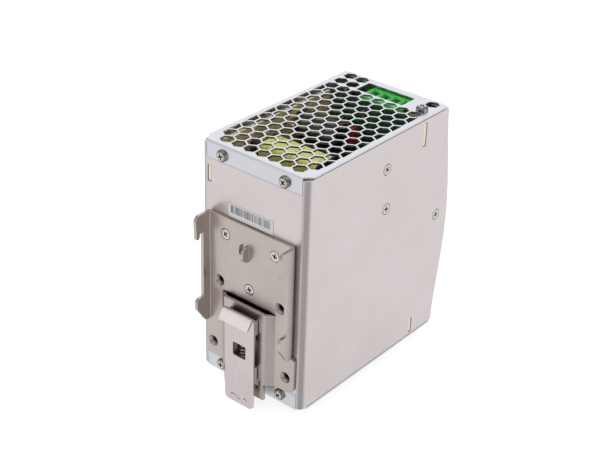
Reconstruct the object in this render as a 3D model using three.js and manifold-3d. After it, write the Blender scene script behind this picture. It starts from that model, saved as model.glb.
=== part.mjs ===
// A metal-cased power supply for a 35 mm DIN rail: a bent case, two perforated covers, a rail
// bracket with a sprung slide latch, two circuit boards and what stands on them.
//
// Millimetres, +Z up. The origin is the centre of the rail, on the plane where the rail rests on
// the bracket. +Y points to the rear, towards the rail, and -Y to the front with its terminals.
// Everything is drawn in a case frame inside: y = 0 on the back face, z = 0 under the case.
import * as THREE from "three";
import { mergeVertices } from "three/addons/utils/BufferGeometryUtils.js";
import Module from "manifold-3d";

// Case.
const caseWidth = 63;
const caseHeight = 125.2;
const caseDepth = 107.4; // back to front edge, at the top and the bottom
const frontBulge = 6.1; // how far the front swells beyond that at mid height
const frontBulgePower = 1.6; // how sharply it swells
const frontSteps = 20;
const shellSheet = 1.2;
const shellBend = 3;
const gap = 0.3; // between pieces that touch
const fineGap = 0.1; // between sheets that lie on each other

// Covers.
const coverSheet = 1.0;
const coverBend = 1.2;
const rearFlange = 8.7; // height of the flange folded over the back
const frontFlange = 7;
const flangeInset = 3.2; // its end to the side of the case
const cornerNotch = 5; // how far forward the cut corner runs
const hexPitch = 7.2;
const hexAcross = 6.3; // flat to flat
const hexFirstRow = 6.4; // back face to the first row
const hexRows = 14;
const terminalWindow = { width: 28, depth: 10.8, back: 91.3, centre: -0.8 };

// Rail, bracket and latch.
const railHeight = 35;
const railCentre = 62.4; // above the underside of the case
const railSlack = 0.2;
const seatDepth = 6.3; // back face to the rail's front face
const bracketSheet = 1.8;
const bracketHalf = 26.8; // over the flanges
const bracketFoot = 28.2; // half width below the flanges
const bracketTop = 90;
const bracketBottom = 10;
const flangeBottom = 30.3;
const hookReach = 11.1; // rear edge of the hooks
const hookGap = 2.1; // between the seat and the hook's lip
const channelHalf = 13.2;
const channelRise = 3.4;
const channelTop = 49.8;
const channelBottom = 1;
const latchSheet = 1.2;
const latchHalf = 9;
const latchFoot = -5; // its lower end, below the case
const latchStraight = 46; // where the straight part ends and the fold begins
const latchTravel = 5;
const rampLength = 5;
const rampAngle = (33 * Math.PI) / 180;
const springRadius = 1.9;
const springWire = 0.6;
const springTurns = 7;
const springX = 1.3;
const springSeat = 14.8;
const lugHeight = 29.8;

// Screws.
const shankRadius = 1.5;
const panRadius = 3;
const panHeight = 1.7;
const frontScrewHeight = 2.4; // the cover's front screws have taller heads
const flatRadius = 2.8;
const flatDepth = 1.3;
const holeSlack = 0.2;
const rearScrewHalf = 18.6;
const rearScrewInset = 5.2;

// Boards.
const boardSheet = 1.6;
const mainBoardX = 26.8;
const frontBoardY = -88.4;
const boardMargin = 2.8;

// Terminal blocks.
const outputPitch = 6.35;
const outputPoles = 4;
const inputPitch = 7.62;
const inputPoles = 3;
const terminalCentre = -3.1;
const terminalHeight = 16;
const terminalInset = 1.8; // from the outside of the cover to the block
const clampDrop = 10.4; // from the block's outer face to the middle of its clamp screws
const terminalDepth = 14;
const clampRadius = 1.9;

const backInside = -shellSheet;
const sideInside = caseWidth / 2 - shellSheet;

const wasm = await Module();
wasm.setup();

// ---------------------------------------------------------------- solids

function toSolid(geometry) {
  const bare = geometry.index ? geometry.toNonIndexed() : geometry.clone();
  bare.deleteAttribute("normal");
  bare.deleteAttribute("uv");
  const merged = mergeVertices(bare, 1e-4);
  return new wasm.Manifold(
    new wasm.Mesh({
      numProp: 3,
      vertProperties: merged.attributes.position.array,
      triVerts: new Uint32Array(merged.index.array),
    }),
  );
}

function toGeometry(solid) {
  const mesh = solid.getMesh();
  const geometry = new THREE.BufferGeometry();
  geometry.setAttribute("position", new THREE.BufferAttribute(mesh.vertProperties, 3));
  geometry.setIndex(new THREE.BufferAttribute(mesh.triVerts, 1));
  const flat = geometry.toNonIndexed();
  flat.computeVertexNormals();
  return flat;
}

function join(...solids) {
  return solids.reduce((whole, piece) => whole.add(piece));
}

function cut(solid, ...tools) {
  return tools.reduce((left, tool) => left.subtract(tool), solid);
}

// A box between two corners.
function box(low, high) {
  const size = high.map((value, i) => value - low[i]);
  const geometry = new THREE.BoxGeometry(...size);
  geometry.translate(...high.map((value, i) => (value + low[i]) / 2));
  return toSolid(geometry);
}

// A closed outline through points [u, v] or [u, v, radius], its corners rounded by the radius.
function outline(points, steps = 4) {
  const path = [];
  const add = (point) => {
    if (path.length === 0 || path.at(-1).distanceTo(point) > 1e-3) path.push(point);
  };
  const count = points.length;
  points.forEach((point, i) => {
    const corner = new THREE.Vector2(point[0], point[1]);
    const radius = point[2] ?? 0;
    if (radius === 0) {
      add(corner);
      return;
    }
    const before = points[(i + count - 1) % count];
    const after = points[(i + 1) % count];
    const toBefore = new THREE.Vector2(before[0], before[1]).sub(corner).normalize();
    const toAfter = new THREE.Vector2(after[0], after[1]).sub(corner).normalize();
    const half = Math.acos(THREE.MathUtils.clamp(toBefore.dot(toAfter), -1, 1)) / 2;
    const reach = radius / Math.tan(half);
    const inward = toBefore.clone().add(toAfter).normalize();
    const centre = inward.multiplyScalar(radius / Math.sin(half)).add(corner);
    const start = toBefore.multiplyScalar(reach).add(corner).sub(centre).angle();
    const end = toAfter.multiplyScalar(reach).add(corner).sub(centre).angle();
    const sweep = Math.atan2(Math.sin(end - start), Math.cos(end - start));
    for (let step = 0; step <= steps; step += 1) {
      const angle = start + (sweep * step) / steps;
      const ray = new THREE.Vector2(Math.cos(angle), Math.sin(angle));
      add(ray.multiplyScalar(radius).add(centre));
    }
  });
  if (path.at(-1).distanceTo(path[0]) < 1e-3) path.pop();
  return new THREE.Shape(path);
}

// Prisms of an outline, along each axis. Their outlines are (x, y), (y, z) and (x, z).
function prismZ(shape, low, high, curveSegments = 4) {
  const options = { depth: high - low, bevelEnabled: false, curveSegments };
  const geometry = new THREE.ExtrudeGeometry(shape, options);
  geometry.translate(0, 0, low);
  return toSolid(geometry);
}

function prismX(shape, low, high, curveSegments = 4) {
  const options = { depth: high - low, bevelEnabled: false, curveSegments };
  const geometry = new THREE.ExtrudeGeometry(shape, options);
  const turn = new THREE.Matrix4().set(0, 0, 1, low, 1, 0, 0, 0, 0, 1, 0, 0, 0, 0, 0, 1);
  geometry.applyMatrix4(turn);
  return toSolid(geometry);
}

function prismY(shape, low, high, curveSegments = 4) {
  const options = { depth: high - low, bevelEnabled: false, curveSegments };
  const geometry = new THREE.ExtrudeGeometry(shape, options);
  const turn = new THREE.Matrix4().set(1, 0, 0, 0, 0, 0, -1, high, 0, 1, 0, 0, 0, 0, 0, 1);
  geometry.applyMatrix4(turn);
  return toSolid(geometry);
}

// A turned solid: profile points [radius, height] from axis to axis, its height along a direction.
function turned(profile, place, direction, segments = 16) {
  const points = profile.map(([r, h]) => new THREE.Vector2(r, h));
  const geometry = new THREE.LatheGeometry(points, segments);
  const up = new THREE.Vector3(0, 1, 0);
  const along = new THREE.Vector3(...direction).normalize();
  geometry.applyQuaternion(new THREE.Quaternion().setFromUnitVectors(up, along));
  geometry.translate(...place);
  return toSolid(geometry);
}

function cylinder(radius, length, place, direction, segments = 16) {
  const profile = [
    [0, 0],
    [radius, 0],
    [radius, length],
    [0, length],
  ];
  return turned(profile, place, direction, segments);
}

// ---------------------------------------------------------------- meshes

const part = new THREE.Group();
part.name = "din_rail_power_supply";
const caseFrame = new THREE.Group();
caseFrame.position.set(0, -seatDepth, -railCentre);
part.add(caseFrame);

function addMesh(name, solid, color, roughness, metalness) {
  const material = new THREE.MeshStandardMaterial({ color, roughness, metalness });
  const mesh = new THREE.Mesh(toGeometry(solid), material);
  mesh.name = name;
  caseFrame.add(mesh);
}

const nickelSheet = [0xc9c2bf, 0.38, 0.9];
const zincSheet = [0xdfe1ea, 0.32, 0.9];
const bracketSteel = [0xbdb3ab, 0.36, 0.9];
const latchSteel = [0xcfccd2, 0.42, 0.85];
const screwSteel = [0xd8d4d0, 0.2, 1.0];
const springSteel = [0xa9a7a3, 0.25, 1.0];
const boardTan = [0xb49a5c, 0.6, 0.0];
const boardGreen = [0x1d4a2b, 0.45, 0.0];
const blackAluminium = [0x1c1c1e, 0.5, 0.6];
const ferrite = [0x2c2a2b, 0.7, 0.1];
const blackPlastic = [0x161616, 0.5, 0.0];
const yellowTape = [0xd9da5e, 0.45, 0.0];
const copper = [0xb3622e, 0.35, 0.8];
const terminalGreen = [0x2f9a33, 0.45, 0.0];

// ---------------------------------------------------------------- screws

const crossLength = 2.5;
const crossWidth = 0.8;

// The cross-shaped recess of a screw whose head's top is at the place, cut down into it.
function crossRecess(place, axis, depth) {
  const across = [0, 1, 2].filter((i) => i !== axis.index);
  return across.map((long, i) => {
    const low = [...place];
    const high = [...place];
    low[long] -= crossLength / 2;
    high[long] += crossLength / 2;
    low[across[1 - i]] -= crossWidth / 2;
    high[across[1 - i]] += crossWidth / 2;
    const inner = place[axis.index] - axis.sign * depth;
    const outer = place[axis.index] + axis.sign * depth;
    low[axis.index] = Math.min(inner, outer);
    high[axis.index] = Math.max(inner, outer);
    return box(low, high);
  });
}

function axisOf(direction) {
  const index = direction.findIndex((value) => value !== 0);
  return { index, sign: direction[index] };
}

// A pan-head screw: the seat of its head is at the place and its head points along the direction.
function panScrew(place, direction, length, height = panHeight) {
  const profile = [
    [0, -length],
    [shankRadius, -length],
    [shankRadius, 0],
    [panRadius, 0],
    [panRadius, height * 0.45],
    [panRadius * 0.8, height * 0.85],
    [0, height],
  ];
  const top = place.map((value, i) => value + direction[i] * height);
  return cut(turned(profile, place, direction), ...crossRecess(top, axisOf(direction), 1.1));
}

// A countersunk screw whose flat head is level with the place.
function flatScrew(place, direction, length) {
  const profile = [
    [0, -length],
    [shankRadius, -length],
    [shankRadius, -flatDepth],
    [flatRadius, 0],
    [0, 0],
  ];
  return cut(turned(profile, place, direction), ...crossRecess(place, axisOf(direction), 0.8));
}

// What is bored out for a screw: a plain hole, and a countersunk one that starts at the place.
function plainHole(place, direction, length) {
  const start = place.map((value, i) => value - (direction[i] * length) / 2);
  return cylinder(shankRadius + holeSlack, length, start, direction);
}

function sunkHole(place, direction, depth) {
  const profile = [
    [0, -depth],
    [shankRadius + holeSlack, -depth],
    [shankRadius + holeSlack, -flatDepth],
    [flatRadius + holeSlack, 0],
    [flatRadius + holeSlack, 1],
    [0, 1],
  ];
  return turned(profile, place, direction);
}

const rear = [0, 1, 0];
const right = [-1, 0, 0]; // the side that is at the right when the case is seen from behind
const sideScrews = { upper: [-58.8, 108.3], lower: [-60, 86.9], front: [-103.9, 66.1] };
const bracketScrews = { left: [15.1, 81.2], right: [-15.1, 81.2], centre: [0, 57] };
const spareHoles = [
  [18.8, 54.6],
  [-18.8, 54.6],
  [23, 18],
  [-23, 18],
];
const coverScrewPlace = [-25, -93.5];

// ---------------------------------------------------------------- case shell

// Depth of the sides' front edge at a height.
function frontLine(height) {
  const share = THREE.MathUtils.clamp(height / caseHeight, 0, 1);
  return caseDepth + frontBulge * Math.sin(Math.PI * share) ** frontBulgePower;
}

// Points (y, z) of a line that lies a distance behind the front edge, from one height to another.
function frontCurve(inset, low, high) {
  return Array.from({ length: frontSteps + 1 }, (_, i) => {
    const height = low + ((high - low) * i) / frontSteps;
    return [inset - frontLine(height), height];
  });
}

const slitHeight = [104.2, 112.6];
const sideSlots = [
  [caseHeight - 15.4, caseHeight - 3],
  [2.8, 11.2],
];
const slotSlack = 0.3;
const coverTabHalf = 4.1;
const joggleOverlap = 2.5;

function caseShell() {
  const half = caseWidth / 2;
  const deep = -(caseDepth + frontBulge + 1);
  const plan = outline([
    [half, 0, shellBend],
    [half, deep],
    [sideInside, deep],
    [sideInside, backInside, shellBend - shellSheet],
    [-sideInside, backInside, shellBend - shellSheet],
    [-sideInside, deep],
    [-half, deep],
    [-half, 0, shellBend],
  ]);
  const low = coverSheet + gap;
  const high = caseHeight - coverSheet - gap;
  const side = outline([[1, low], ...frontCurve(0, low, high), [1, high]]);
  let shell = prismZ(plan, low, high).intersect(prismX(side, -half - 1, half + 1));

  // At the top and the bottom the back steps inwards, so that the cover's flange lies flush.
  const recessHalf = half - flangeInset + fineGap;
  const stepFace = -coverSheet - fineGap;
  for (const top of [true, false]) {
    const level = (distance) => (top ? caseHeight - distance : distance);
    const span = (from, to) => [Math.min(level(from), level(to)), Math.max(level(from), level(to))];
    const [cutLow, cutHigh] = span(-1, rearFlange + fineGap);
    shell = cut(shell, box([-recessHalf, backInside - 0.01, cutLow], [recessHalf, 1, cutHigh]));
    const [stepLow, stepHigh] = span(coverSheet + gap, rearFlange + fineGap + joggleOverlap);
    const stripHalf = half - shellBend - gap;
    const strip = box([-stripHalf, stepFace - shellSheet, stepLow], [stripHalf, stepFace, stepHigh]);
    shell = join(shell, strip);
    for (const x of [rearScrewHalf, -rearScrewHalf]) {
      shell = cut(shell, plainHole([x, stepFace, level(rearScrewInset)], rear, 6));
    }
  }

  // A tab folded in from the side at each end takes the front screw of the cover.
  const [tabX, tabY] = coverScrewPlace;
  for (const from of [low, high - shellSheet]) {
    const tabLow = [-sideInside - 0.1, tabY - coverTabHalf, from];
    const tab = box(tabLow, [tabX + coverTabHalf, tabY + coverTabHalf, from + shellSheet]);
    shell = cut(join(shell, tab), plainHole([tabX, tabY, from], [0, 0, 1], 6));
  }

  // Slits for the boards' tabs.
  const slit = boardSheet / 2 + slotSlack;
  const slitBox = [
    [mainBoardX - slit, -shellSheet * 2, slitHeight[0]],
    [mainBoardX + slit, 1, slitHeight[1]],
  ];
  shell = cut(shell, box(...slitBox));
  for (const [bottom, top] of sideSlots) {
    const inner = [-half - 1, frontBoardY - slit, bottom];
    const outer = [-sideInside + 1, frontBoardY + slit, top];
    shell = cut(shell, box(inner, outer));
  }

  for (const [y, z] of Object.values(sideScrews)) {
    shell = cut(shell, sunkHole([-half, y, z], right, 3));
  }
  for (const [x, z] of [...Object.values(bracketScrews), ...spareHoles]) {
    shell = cut(shell, plainHole([x, 0, z], rear, 6));
  }
  return shell;
}

addMesh("case_shell", caseShell(), ...nickelSheet);

// ---------------------------------------------------------------- covers

const hexRadius = hexAcross / Math.sqrt(3);
const hexRowStep = (hexPitch * Math.sqrt(3)) / 2 - 0.035;
const hexClip = 4 * hexPitch;

// A hexagonal punch with a corner to the rear, or the half of it inside the clip line.
function hexPunch([x, y], low, high) {
  const corners = Array.from({ length: 6 }, (_, i) => {
    const angle = Math.PI / 2 + (i * Math.PI) / 3;
    return [x + hexRadius * Math.cos(angle), y + hexRadius * Math.sin(angle)];
  });
  const kept = corners.filter(([u]) => Math.abs(u) < hexClip + 0.001);
  return prismZ(outline(kept), low, high);
}

function hexPlaces() {
  const places = [];
  for (let row = 0; row < hexRows; row += 1) {
    const y = -(hexFirstRow + row * hexRowStep);
    const odd = row % 2 === 1;
    const reach = odd ? 3.5 : row === 0 ? 3 : 4;
    for (let step = -reach; step <= reach; step += 1) places.push([step * hexPitch, y]);
  }
  const besideWindow = [
    [3.5, 94.6],
    [2.5, 94.6],
    [3.5, 102.4],
    [2.5, 102.4],
    [-3.5, 102.2],
  ];
  for (const [step, depth] of besideWindow) places.push([step * hexPitch, -depth]);
  return places;
}

// A cover: a perforated plate with a flange folded over the back and one behind the front edge.
function cover(top) {
  const half = caseWidth / 2;
  const level = (distance) => (top ? caseHeight - distance : distance);
  const span = (from, to) => [Math.min(level(from), level(to)), Math.max(level(from), level(to))];
  const flangeHalf = half - flangeInset;
  const plate = outline([
    [flangeHalf, -coverBend],
    [half, -cornerNotch],
    [half, -caseDepth + coverBend],
    [-half, -caseDepth + coverBend],
    [-half, -cornerNotch],
    [-flangeHalf, -coverBend],
  ]);
  const { width, depth, back, centre } = terminalWindow;
  const window = outline(
    [
      [centre - width / 2, -back, 0.6],
      [centre + width / 2, -back, 0.6],
      [centre + width / 2, -back - depth, 0.6],
      [centre - width / 2, -back - depth, 0.6],
    ],
    2,
  );
  let sheet = cut(prismZ(plate, ...span(0, coverSheet)), prismZ(window, ...span(-1, 2)));
  for (const place of hexPlaces()) sheet = cut(sheet, hexPunch(place, ...span(-1, 2)));

  // The folded edges, drawn as angles in (y, z).
  const bent = (edge, inner, down) => [
    [edge, level(0), coverBend],
    [edge, level(down)],
    [edge + inner * coverSheet, level(down)],
    [edge + inner * coverSheet, level(coverSheet)],
    [edge + inner * coverBend * 1.2, level(coverSheet)],
    [edge + inner * coverBend * 1.2, level(0)],
  ];
  const rearAngle = prismX(outline(bent(0, -1, rearFlange)), -flangeHalf, flangeHalf);
  const frontHalf = sideInside - gap;
  const frontAngle = prismX(outline(bent(-caseDepth, 1, frontFlange)), -frontHalf, frontHalf);
  sheet = join(sheet, rearAngle, frontAngle);

  for (const x of [rearScrewHalf, -rearScrewHalf]) {
    sheet = cut(sheet, plainHole([x, 0, level(rearScrewInset)], rear, 6));
  }
  const [screwX, screwY] = coverScrewPlace;
  return cut(sheet, plainHole([screwX, screwY, level(0)], [0, 0, 1], 6));
}

addMesh("top_cover", cover(true), ...zincSheet);
addMesh("bottom_cover", cover(false), ...zincSheet);

const rearScrewLength = 5;
for (const [place, level] of [
  ["top", caseHeight - rearScrewInset],
  ["bottom", rearScrewInset],
]) {
  for (const [side, x] of [
    ["left", rearScrewHalf],
    ["right", -rearScrewHalf],
  ]) {
    const screw = panScrew([x, fineGap, level], rear, rearScrewLength);
    addMesh(`${place}_cover_screw_${side}`, screw, ...screwSteel);
  }
}
const [coverScrewX, coverScrewY] = coverScrewPlace;
const topScrewPlace = [coverScrewX, coverScrewY, caseHeight + fineGap];
const bottomScrewPlace = [coverScrewX, coverScrewY, -fineGap];
const topFrontScrew = panScrew(topScrewPlace, [0, 0, 1], 4, frontScrewHeight);
const bottomFrontScrew = panScrew(bottomScrewPlace, [0, 0, -1], 4, frontScrewHeight);
addMesh("top_cover_screw_front", topFrontScrew, ...screwSteel);
addMesh("bottom_cover_screw_front", bottomFrontScrew, ...screwSteel);

for (const [name, [y, z]] of Object.entries(sideScrews)) {
  addMesh(`side_screw_${name}`, flatScrew([-caseWidth / 2, y, z], right, 5), ...screwSteel);
}

// ---------------------------------------------------------------- front panel and labels

const panelSheet = 1.2;
const panelInset = coverSheet + gap + frontLine(frontFlange) - caseDepth;
const panelHalf = sideInside - 0.4;
const panelTabDepth = 14;
const accessRadius = 2.6;
const trimmerPlace = [20.5, 98];
const lightPlace = [20.5, 112];
const lightRadius = 1.5;

function clampPlaces(top) {
  const pitch = top ? outputPitch : inputPitch;
  const poles = top ? outputPoles : inputPoles;
  const level = top ? caseHeight - terminalInset : terminalInset;
  const centre = level + (top ? -1 : 1) * clampDrop;
  const first = terminalCentre + ((poles - 1) / 2) * pitch;
  return Array.from({ length: poles }, (_, i) => [first - i * pitch, centre]);
}

function frontPanel() {
  const low = coverSheet + gap;
  const high = caseHeight - coverSheet - gap;
  const outer = frontCurve(panelInset, low, high);
  const inner = frontCurve(panelInset + panelSheet, low, high).reverse();
  let panel = prismX(outline([...outer, ...inner]), -panelHalf, panelHalf);

  // A tab for the screw of the side.
  const [screwY, screwZ] = sideScrews.front;
  const sideTabFront = -frontLine(screwZ) + panelInset + panelSheet / 2;
  const sideTab = box(
    [-panelHalf, sideTabFront, screwZ - 8],
    [-panelHalf + panelSheet, sideTabFront + panelTabDepth, screwZ + 8],
  );
  panel = cut(join(panel, sideTab), plainHole([-panelHalf, screwY, screwZ], right, 8));

  const through = (radius, [x, z]) => {
    return cylinder(radius, 20, [x, -frontLine(z) - 8, z], [0, 1, 0]);
  };
  const access = [...clampPlaces(true), ...clampPlaces(false), trimmerPlace];
  for (const place of access) panel = cut(panel, through(accessRadius, place));
  return cut(panel, through(lightRadius + gap, lightPlace));
}

addMesh("front_panel", frontPanel(), ...nickelSheet);

const labelSheet = 0.3;
const labelHeights = [24, 92];
const labelHalf = 25;
const labelOuter = frontCurve(panelInset - fineGap - labelSheet, ...labelHeights);
const labelInner = frontCurve(panelInset - fineGap, ...labelHeights).reverse();
const labelSolid = prismX(outline([...labelOuter, ...labelInner]), -labelHalf, labelHalf);
addMesh("front_label", labelSolid, 0x3c4654, 0.5, 0);

const barcodePlace = { x: 1.2, z: 93.9, width: 27, height: 7 };
const barcodeSolid = box(
  [barcodePlace.x - barcodePlace.width / 2, 0.05, barcodePlace.z - barcodePlace.height / 2],
  [barcodePlace.x + barcodePlace.width / 2, 0.2, barcodePlace.z + barcodePlace.height / 2],
);
addMesh("barcode_label", barcodeSolid, 0xe4e2e4, 0.5, 0);

// ---------------------------------------------------------------- rail bracket

const plateFront = fineGap;
const plateRear = plateFront + bracketSheet;
const channelFace = plateRear + channelRise;
const channelRun = channelRise; // the channel's walls slope at 45 degrees
const notchTop = railCentre + railHeight / 2 + railSlack;
const lobeTop = railCentre - railHeight / 2 - railSlack;
const footSlots = [
  { low: 12, high: 19 },
  { low: 39.5, high: 45 },
];
const footInner = latchHalf - latchSheet;
const tabCentre = [2.2, 76.2];
const tabRadius = 4.2;
const springOpening = { left: springX - 2.8, right: springX + 2.8, top: 32 };
const springY = 3.4;
const pipRadius = 0.9;

// Side view (y, z) of a flange: hook, rail seat and lower lobe.
function flangeProfile() {
  const tip = notchTop - 2.8;
  const seatDraft = 0.06; // the walls beside the seat open outwards a little
  return outline([
    [plateFront, flangeBottom],
    [4.5, flangeBottom, 1],
    [5.8, flangeBottom + 1.4, 1],
    [hookReach - 0.3, lobeTop - 5.5, 2],
    [hookReach - 0.3, lobeTop - seatDraft, 2],
    [seatDepth, lobeTop],
    [seatDepth, notchTop],
    [seatDepth + hookGap, notchTop + seatDraft, 0.5],
    [seatDepth + hookGap, notchTop - 1],
    [seatDepth + hookGap + 0.6, tip, 0.6],
    [hookReach - 0.4, tip, 0.8],
    [hookReach + 0.2, bracketTop, 3],
    [plateFront, bracketTop],
  ]);
}

function railBracket() {
  const deep = hookReach + 2;
  const outerBend = bracketSheet + 0.6;
  const inner = bracketHalf - bracketSheet;
  const plan = outline([
    [-bracketHalf, deep],
    [-bracketHalf, plateFront, outerBend],
    [bracketHalf, plateFront, outerBend],
    [bracketHalf, deep],
    [inner, deep],
    [inner, plateRear, 0.6],
    [-inner, plateRear, 0.6],
    [-inner, deep],
  ]);
  const upper = prismZ(plan, flangeBottom, bracketTop);
  const view = prismX(flangeProfile(), -bracketHalf - 1, bracketHalf + 1);
  const foot = outline([
    [-bracketFoot, bracketBottom, 4],
    [bracketFoot, bracketBottom, 4],
    [bracketFoot, flangeBottom - 1.2, 1],
    [bracketHalf - outerBend, flangeBottom + 1],
    [-bracketHalf + outerBend, flangeBottom + 1],
    [-bracketFoot, flangeBottom - 1.2, 1],
  ]);
  let bracket = join(upper.intersect(view), prismY(foot, plateFront, plateRear));

  // The channel is pressed out to the rear below a slit, and runs down past the plate.
  const base = channelHalf + channelRun;
  const lip = base + 1.4;
  const slitTop = channelTop + 0.5;
  const opening = base - 0.3;
  const low = [-opening, plateFront - 1, bracketBottom - 1];
  bracket = cut(bracket, box(low, [opening, plateRear + 1, slitTop]));
  const slope = bracketSheet * (Math.SQRT2 - 1);
  const channel = outline([
    [-lip, plateFront],
    [-base + slope, plateFront, 1],
    [-channelHalf + slope, channelFace - bracketSheet, 1],
    [channelHalf - slope, channelFace - bracketSheet, 1],
    [base - slope, plateFront, 1],
    [lip, plateFront],
    [lip, plateRear],
    [base, plateRear, 1],
    [channelHalf, channelFace, 2],
    [-channelHalf, channelFace, 2],
    [-base, plateRear, 1],
    [-lip, plateRear],
  ]);
  bracket = join(bracket, prismZ(channel, channelBottom, channelTop));
  const tailHalf = Math.min(channelHalf - 0.7, rearScrewHalf - panRadius - 2 * gap);
  for (const [x0, x1] of [
    [tailHalf, lip + 1],
    [-lip - 1, -tailHalf],
  ]) {
    bracket = cut(bracket, box([x0, plateFront - 1, 0], [x1, channelFace, bracketBottom]));
  }

  // Slots for the latch's feet, and the opening and seat of its spring.
  const slotInner = footInner - gap;
  const slotOuter = latchHalf + gap;
  for (const { low: bottom, high: top } of footSlots) {
    const z0 = bottom - latchTravel - gap;
    const z1 = top + gap;
    for (const [x0, x1] of [
      [slotInner, slotOuter],
      [-slotOuter, -slotInner],
    ]) {
      bracket = cut(bracket, box([x0, plateRear, z0], [x1, channelFace + 1, z1]));
    }
  }
  const { left, right: far, top } = springOpening;
  bracket = cut(bracket, box([left, plateRear + 0.5, springSeat], [far, channelFace + 1, top]));
  const seat = box([left, 0.8, springSeat - bracketSheet], [far, channelFace - 0.6, springSeat]);
  const pip = cylinder(pipRadius, 3, [springX, springY, springSeat - 0.5], [0, 0, 1], 8);
  bracket = join(bracket, seat, pip);

  // A half-round tab is lanced out of the plate and stands up beside its hole.
  const [tabX, tabZ] = tabCentre;
  const halfMoon = new THREE.Shape();
  halfMoon.absarc(tabX, tabZ, tabRadius + 0.3, -Math.PI / 2, Math.PI / 2, false);
  const hole = prismY(halfMoon, plateFront - 1, plateRear + 1, 10);
  const standing = new THREE.Shape();
  standing.moveTo(plateFront, tabZ - tabRadius);
  standing.absarc(plateRear, tabZ, tabRadius, -Math.PI / 2, Math.PI / 2, false);
  standing.lineTo(plateFront, tabZ + tabRadius);
  const tab = prismX(standing, tabX - bracketSheet, tabX, 10);
  bracket = join(cut(bracket, hole), tab);

  const sunk = [...Object.values(bracketScrews), ...spareHoles];
  for (const [x, z] of sunk) bracket = cut(bracket, sunkHole([x, plateRear, z], rear, 6));
  return bracket;
}

addMesh("rail_bracket", railBracket(), ...bracketSteel);
for (const [name, [x, z]] of Object.entries(bracketScrews)) {
  addMesh(`bracket_screw_${name}`, flatScrew([x, plateRear, z], rear, 6), ...screwSteel);
}

// ---------------------------------------------------------------- latch and its spring

const latchInner = seatDepth + 1.2; // just behind the rail's 1 mm edge
const latchOuter = latchInner + latchSheet;
const latchWindow = { half: 4.05, low: 22.3, high: lugHeight };
const rampCorner = 1.6;

// The slot for a screwdriver dips in the middle: points across it and how far each drops.
const latchSlotWidth = 0.7;
const latchSlotLine = [
  [-5, 0.4],
  [-3.8, 0],
  [-2.4, 0],
  [-1.2, 0.9],
  [0, 1.3],
  [1.2, 0.9],
  [2.4, 0],
  [3.8, 0],
  [5, 0.4],
];

// Side view (y, z) of the bent sheet: straight up, over the fold and down the ramp.
function latchProfile() {
  const radius = 1.2;
  const centre = [latchInner + latchSheet / 2 + radius, latchStraight];
  const arc = (r, from, to) => {
    const steps = 6;
    return Array.from({ length: steps + 1 }, (_, i) => {
      const angle = from + ((to - from) * i) / steps;
      return [centre[0] + r * Math.cos(angle), centre[1] + r * Math.sin(angle)];
    });
  };
  const outerArc = arc(radius + latchSheet / 2, Math.PI, rampAngle);
  const innerArc = arc(radius - latchSheet / 2, rampAngle, Math.PI);
  const down = [rampLength * Math.sin(rampAngle), -rampLength * Math.cos(rampAngle)];
  const end = ([y, z]) => [y + down[0], z + down[1]];
  return outline([
    [latchInner, latchFoot],
    ...outerArc,
    end(outerArc.at(-1)),
    end(innerArc[0]),
    ...innerArc,
    [latchOuter, latchFoot],
  ]);
}

function railLatch() {
  const bent = prismX(latchProfile(), -latchHalf, latchHalf);
  const top = latchStraight + 4;
  const front = outline([
    [-latchHalf, latchFoot, 2.5],
    [latchHalf, latchFoot, 2.5],
    [latchHalf, top],
    [-latchHalf, top],
  ]);
  let latch = bent.intersect(prismY(front, 0, 20));

  // Feet: they reach through the channel's slots and hook outwards behind its face.
  const flangeFront = channelFace + gap - 0.1;
  const earRear = channelFace - bracketSheet - gap;
  for (const { low, high } of footSlots) {
    for (const side of [1, -1]) {
      const pair = (a, b) => [Math.min(side * a, side * b), Math.max(side * a, side * b)];
      const [x0, x1] = pair(footInner, latchHalf);
      const [e0, e1] = pair(footInner, latchHalf + 1.6);
      latch = join(
        latch,
        box([x0, flangeFront, low - 1.5], [x1, latchInner + 0.3, high + 0.5]),
        box([x0, earRear - 1, low], [x1, latchInner + 0.3, high]),
        box([e0, earRear - 1, low], [e1, earRear, high]),
      );
    }
  }

  // The window, with the lug that the spring pushes on, and the slot for a screwdriver.
  const { half, low, high } = latchWindow;
  const windowShape = outline([
    [-half, low, 0.9],
    [half, low, 0.9],
    [half, high, 0.9],
    [-half, high, 0.9],
  ]);
  latch = cut(latch, prismY(windowShape, latchInner - 1, latchOuter + 1));
  const lug = box([springX - 2, 1.6, high], [springX + 2, latchInner + 0.5, high + latchSheet]);
  const pip = cylinder(pipRadius, 1.5, [springX, springY, high - 1.2], [0, 0, 1], 8);
  latch = join(latch, lug, pip);
  const upperLine = latchSlotLine.map(([x, drop]) => [x, latchFoot + 4.6 - drop]);
  const lowerLine = upperLine.map(([x, z]) => [x, z - latchSlotWidth]).reverse();
  const slot = prismY(outline([...upperLine, ...lowerLine]), latchInner - 1, latchOuter + 1);
  const emboss = box([-1.5, latchOuter - 0.3, 5], [1.5, latchOuter + 1, 14]);
  const dimple = turned(
    [
      [0, -0.4],
      [0.7, 0.1],
      [0, 0.1],
    ],
    [0, latchOuter, low - 5],
    rear,
    8,
  );
  latch = cut(latch, slot, emboss, dimple);

  // The ramp's free corners are rounded.
  const rampEnd = latchStraight - rampLength * Math.cos(rampAngle);
  for (const side of [1, -1]) {
    const corner = [side * latchHalf, rampEnd];
    const trim = [[corner[0] + side, corner[1] - 1]];
    for (let step = 0; step <= 5; step += 1) {
      const angle = (step * Math.PI) / 10;
      const x = corner[0] - side * rampCorner * (1 - Math.cos(angle));
      trim.push([x, corner[1] + rampCorner * (1 - Math.sin(angle))]);
    }
    const rounded = outline(side > 0 ? trim : trim.reverse());
    latch = cut(latch, prismY(rounded, latchOuter + 0.5, latchOuter + 12));
  }
  return latch;
}

addMesh("rail_latch", railLatch(), ...latchSteel);

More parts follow.
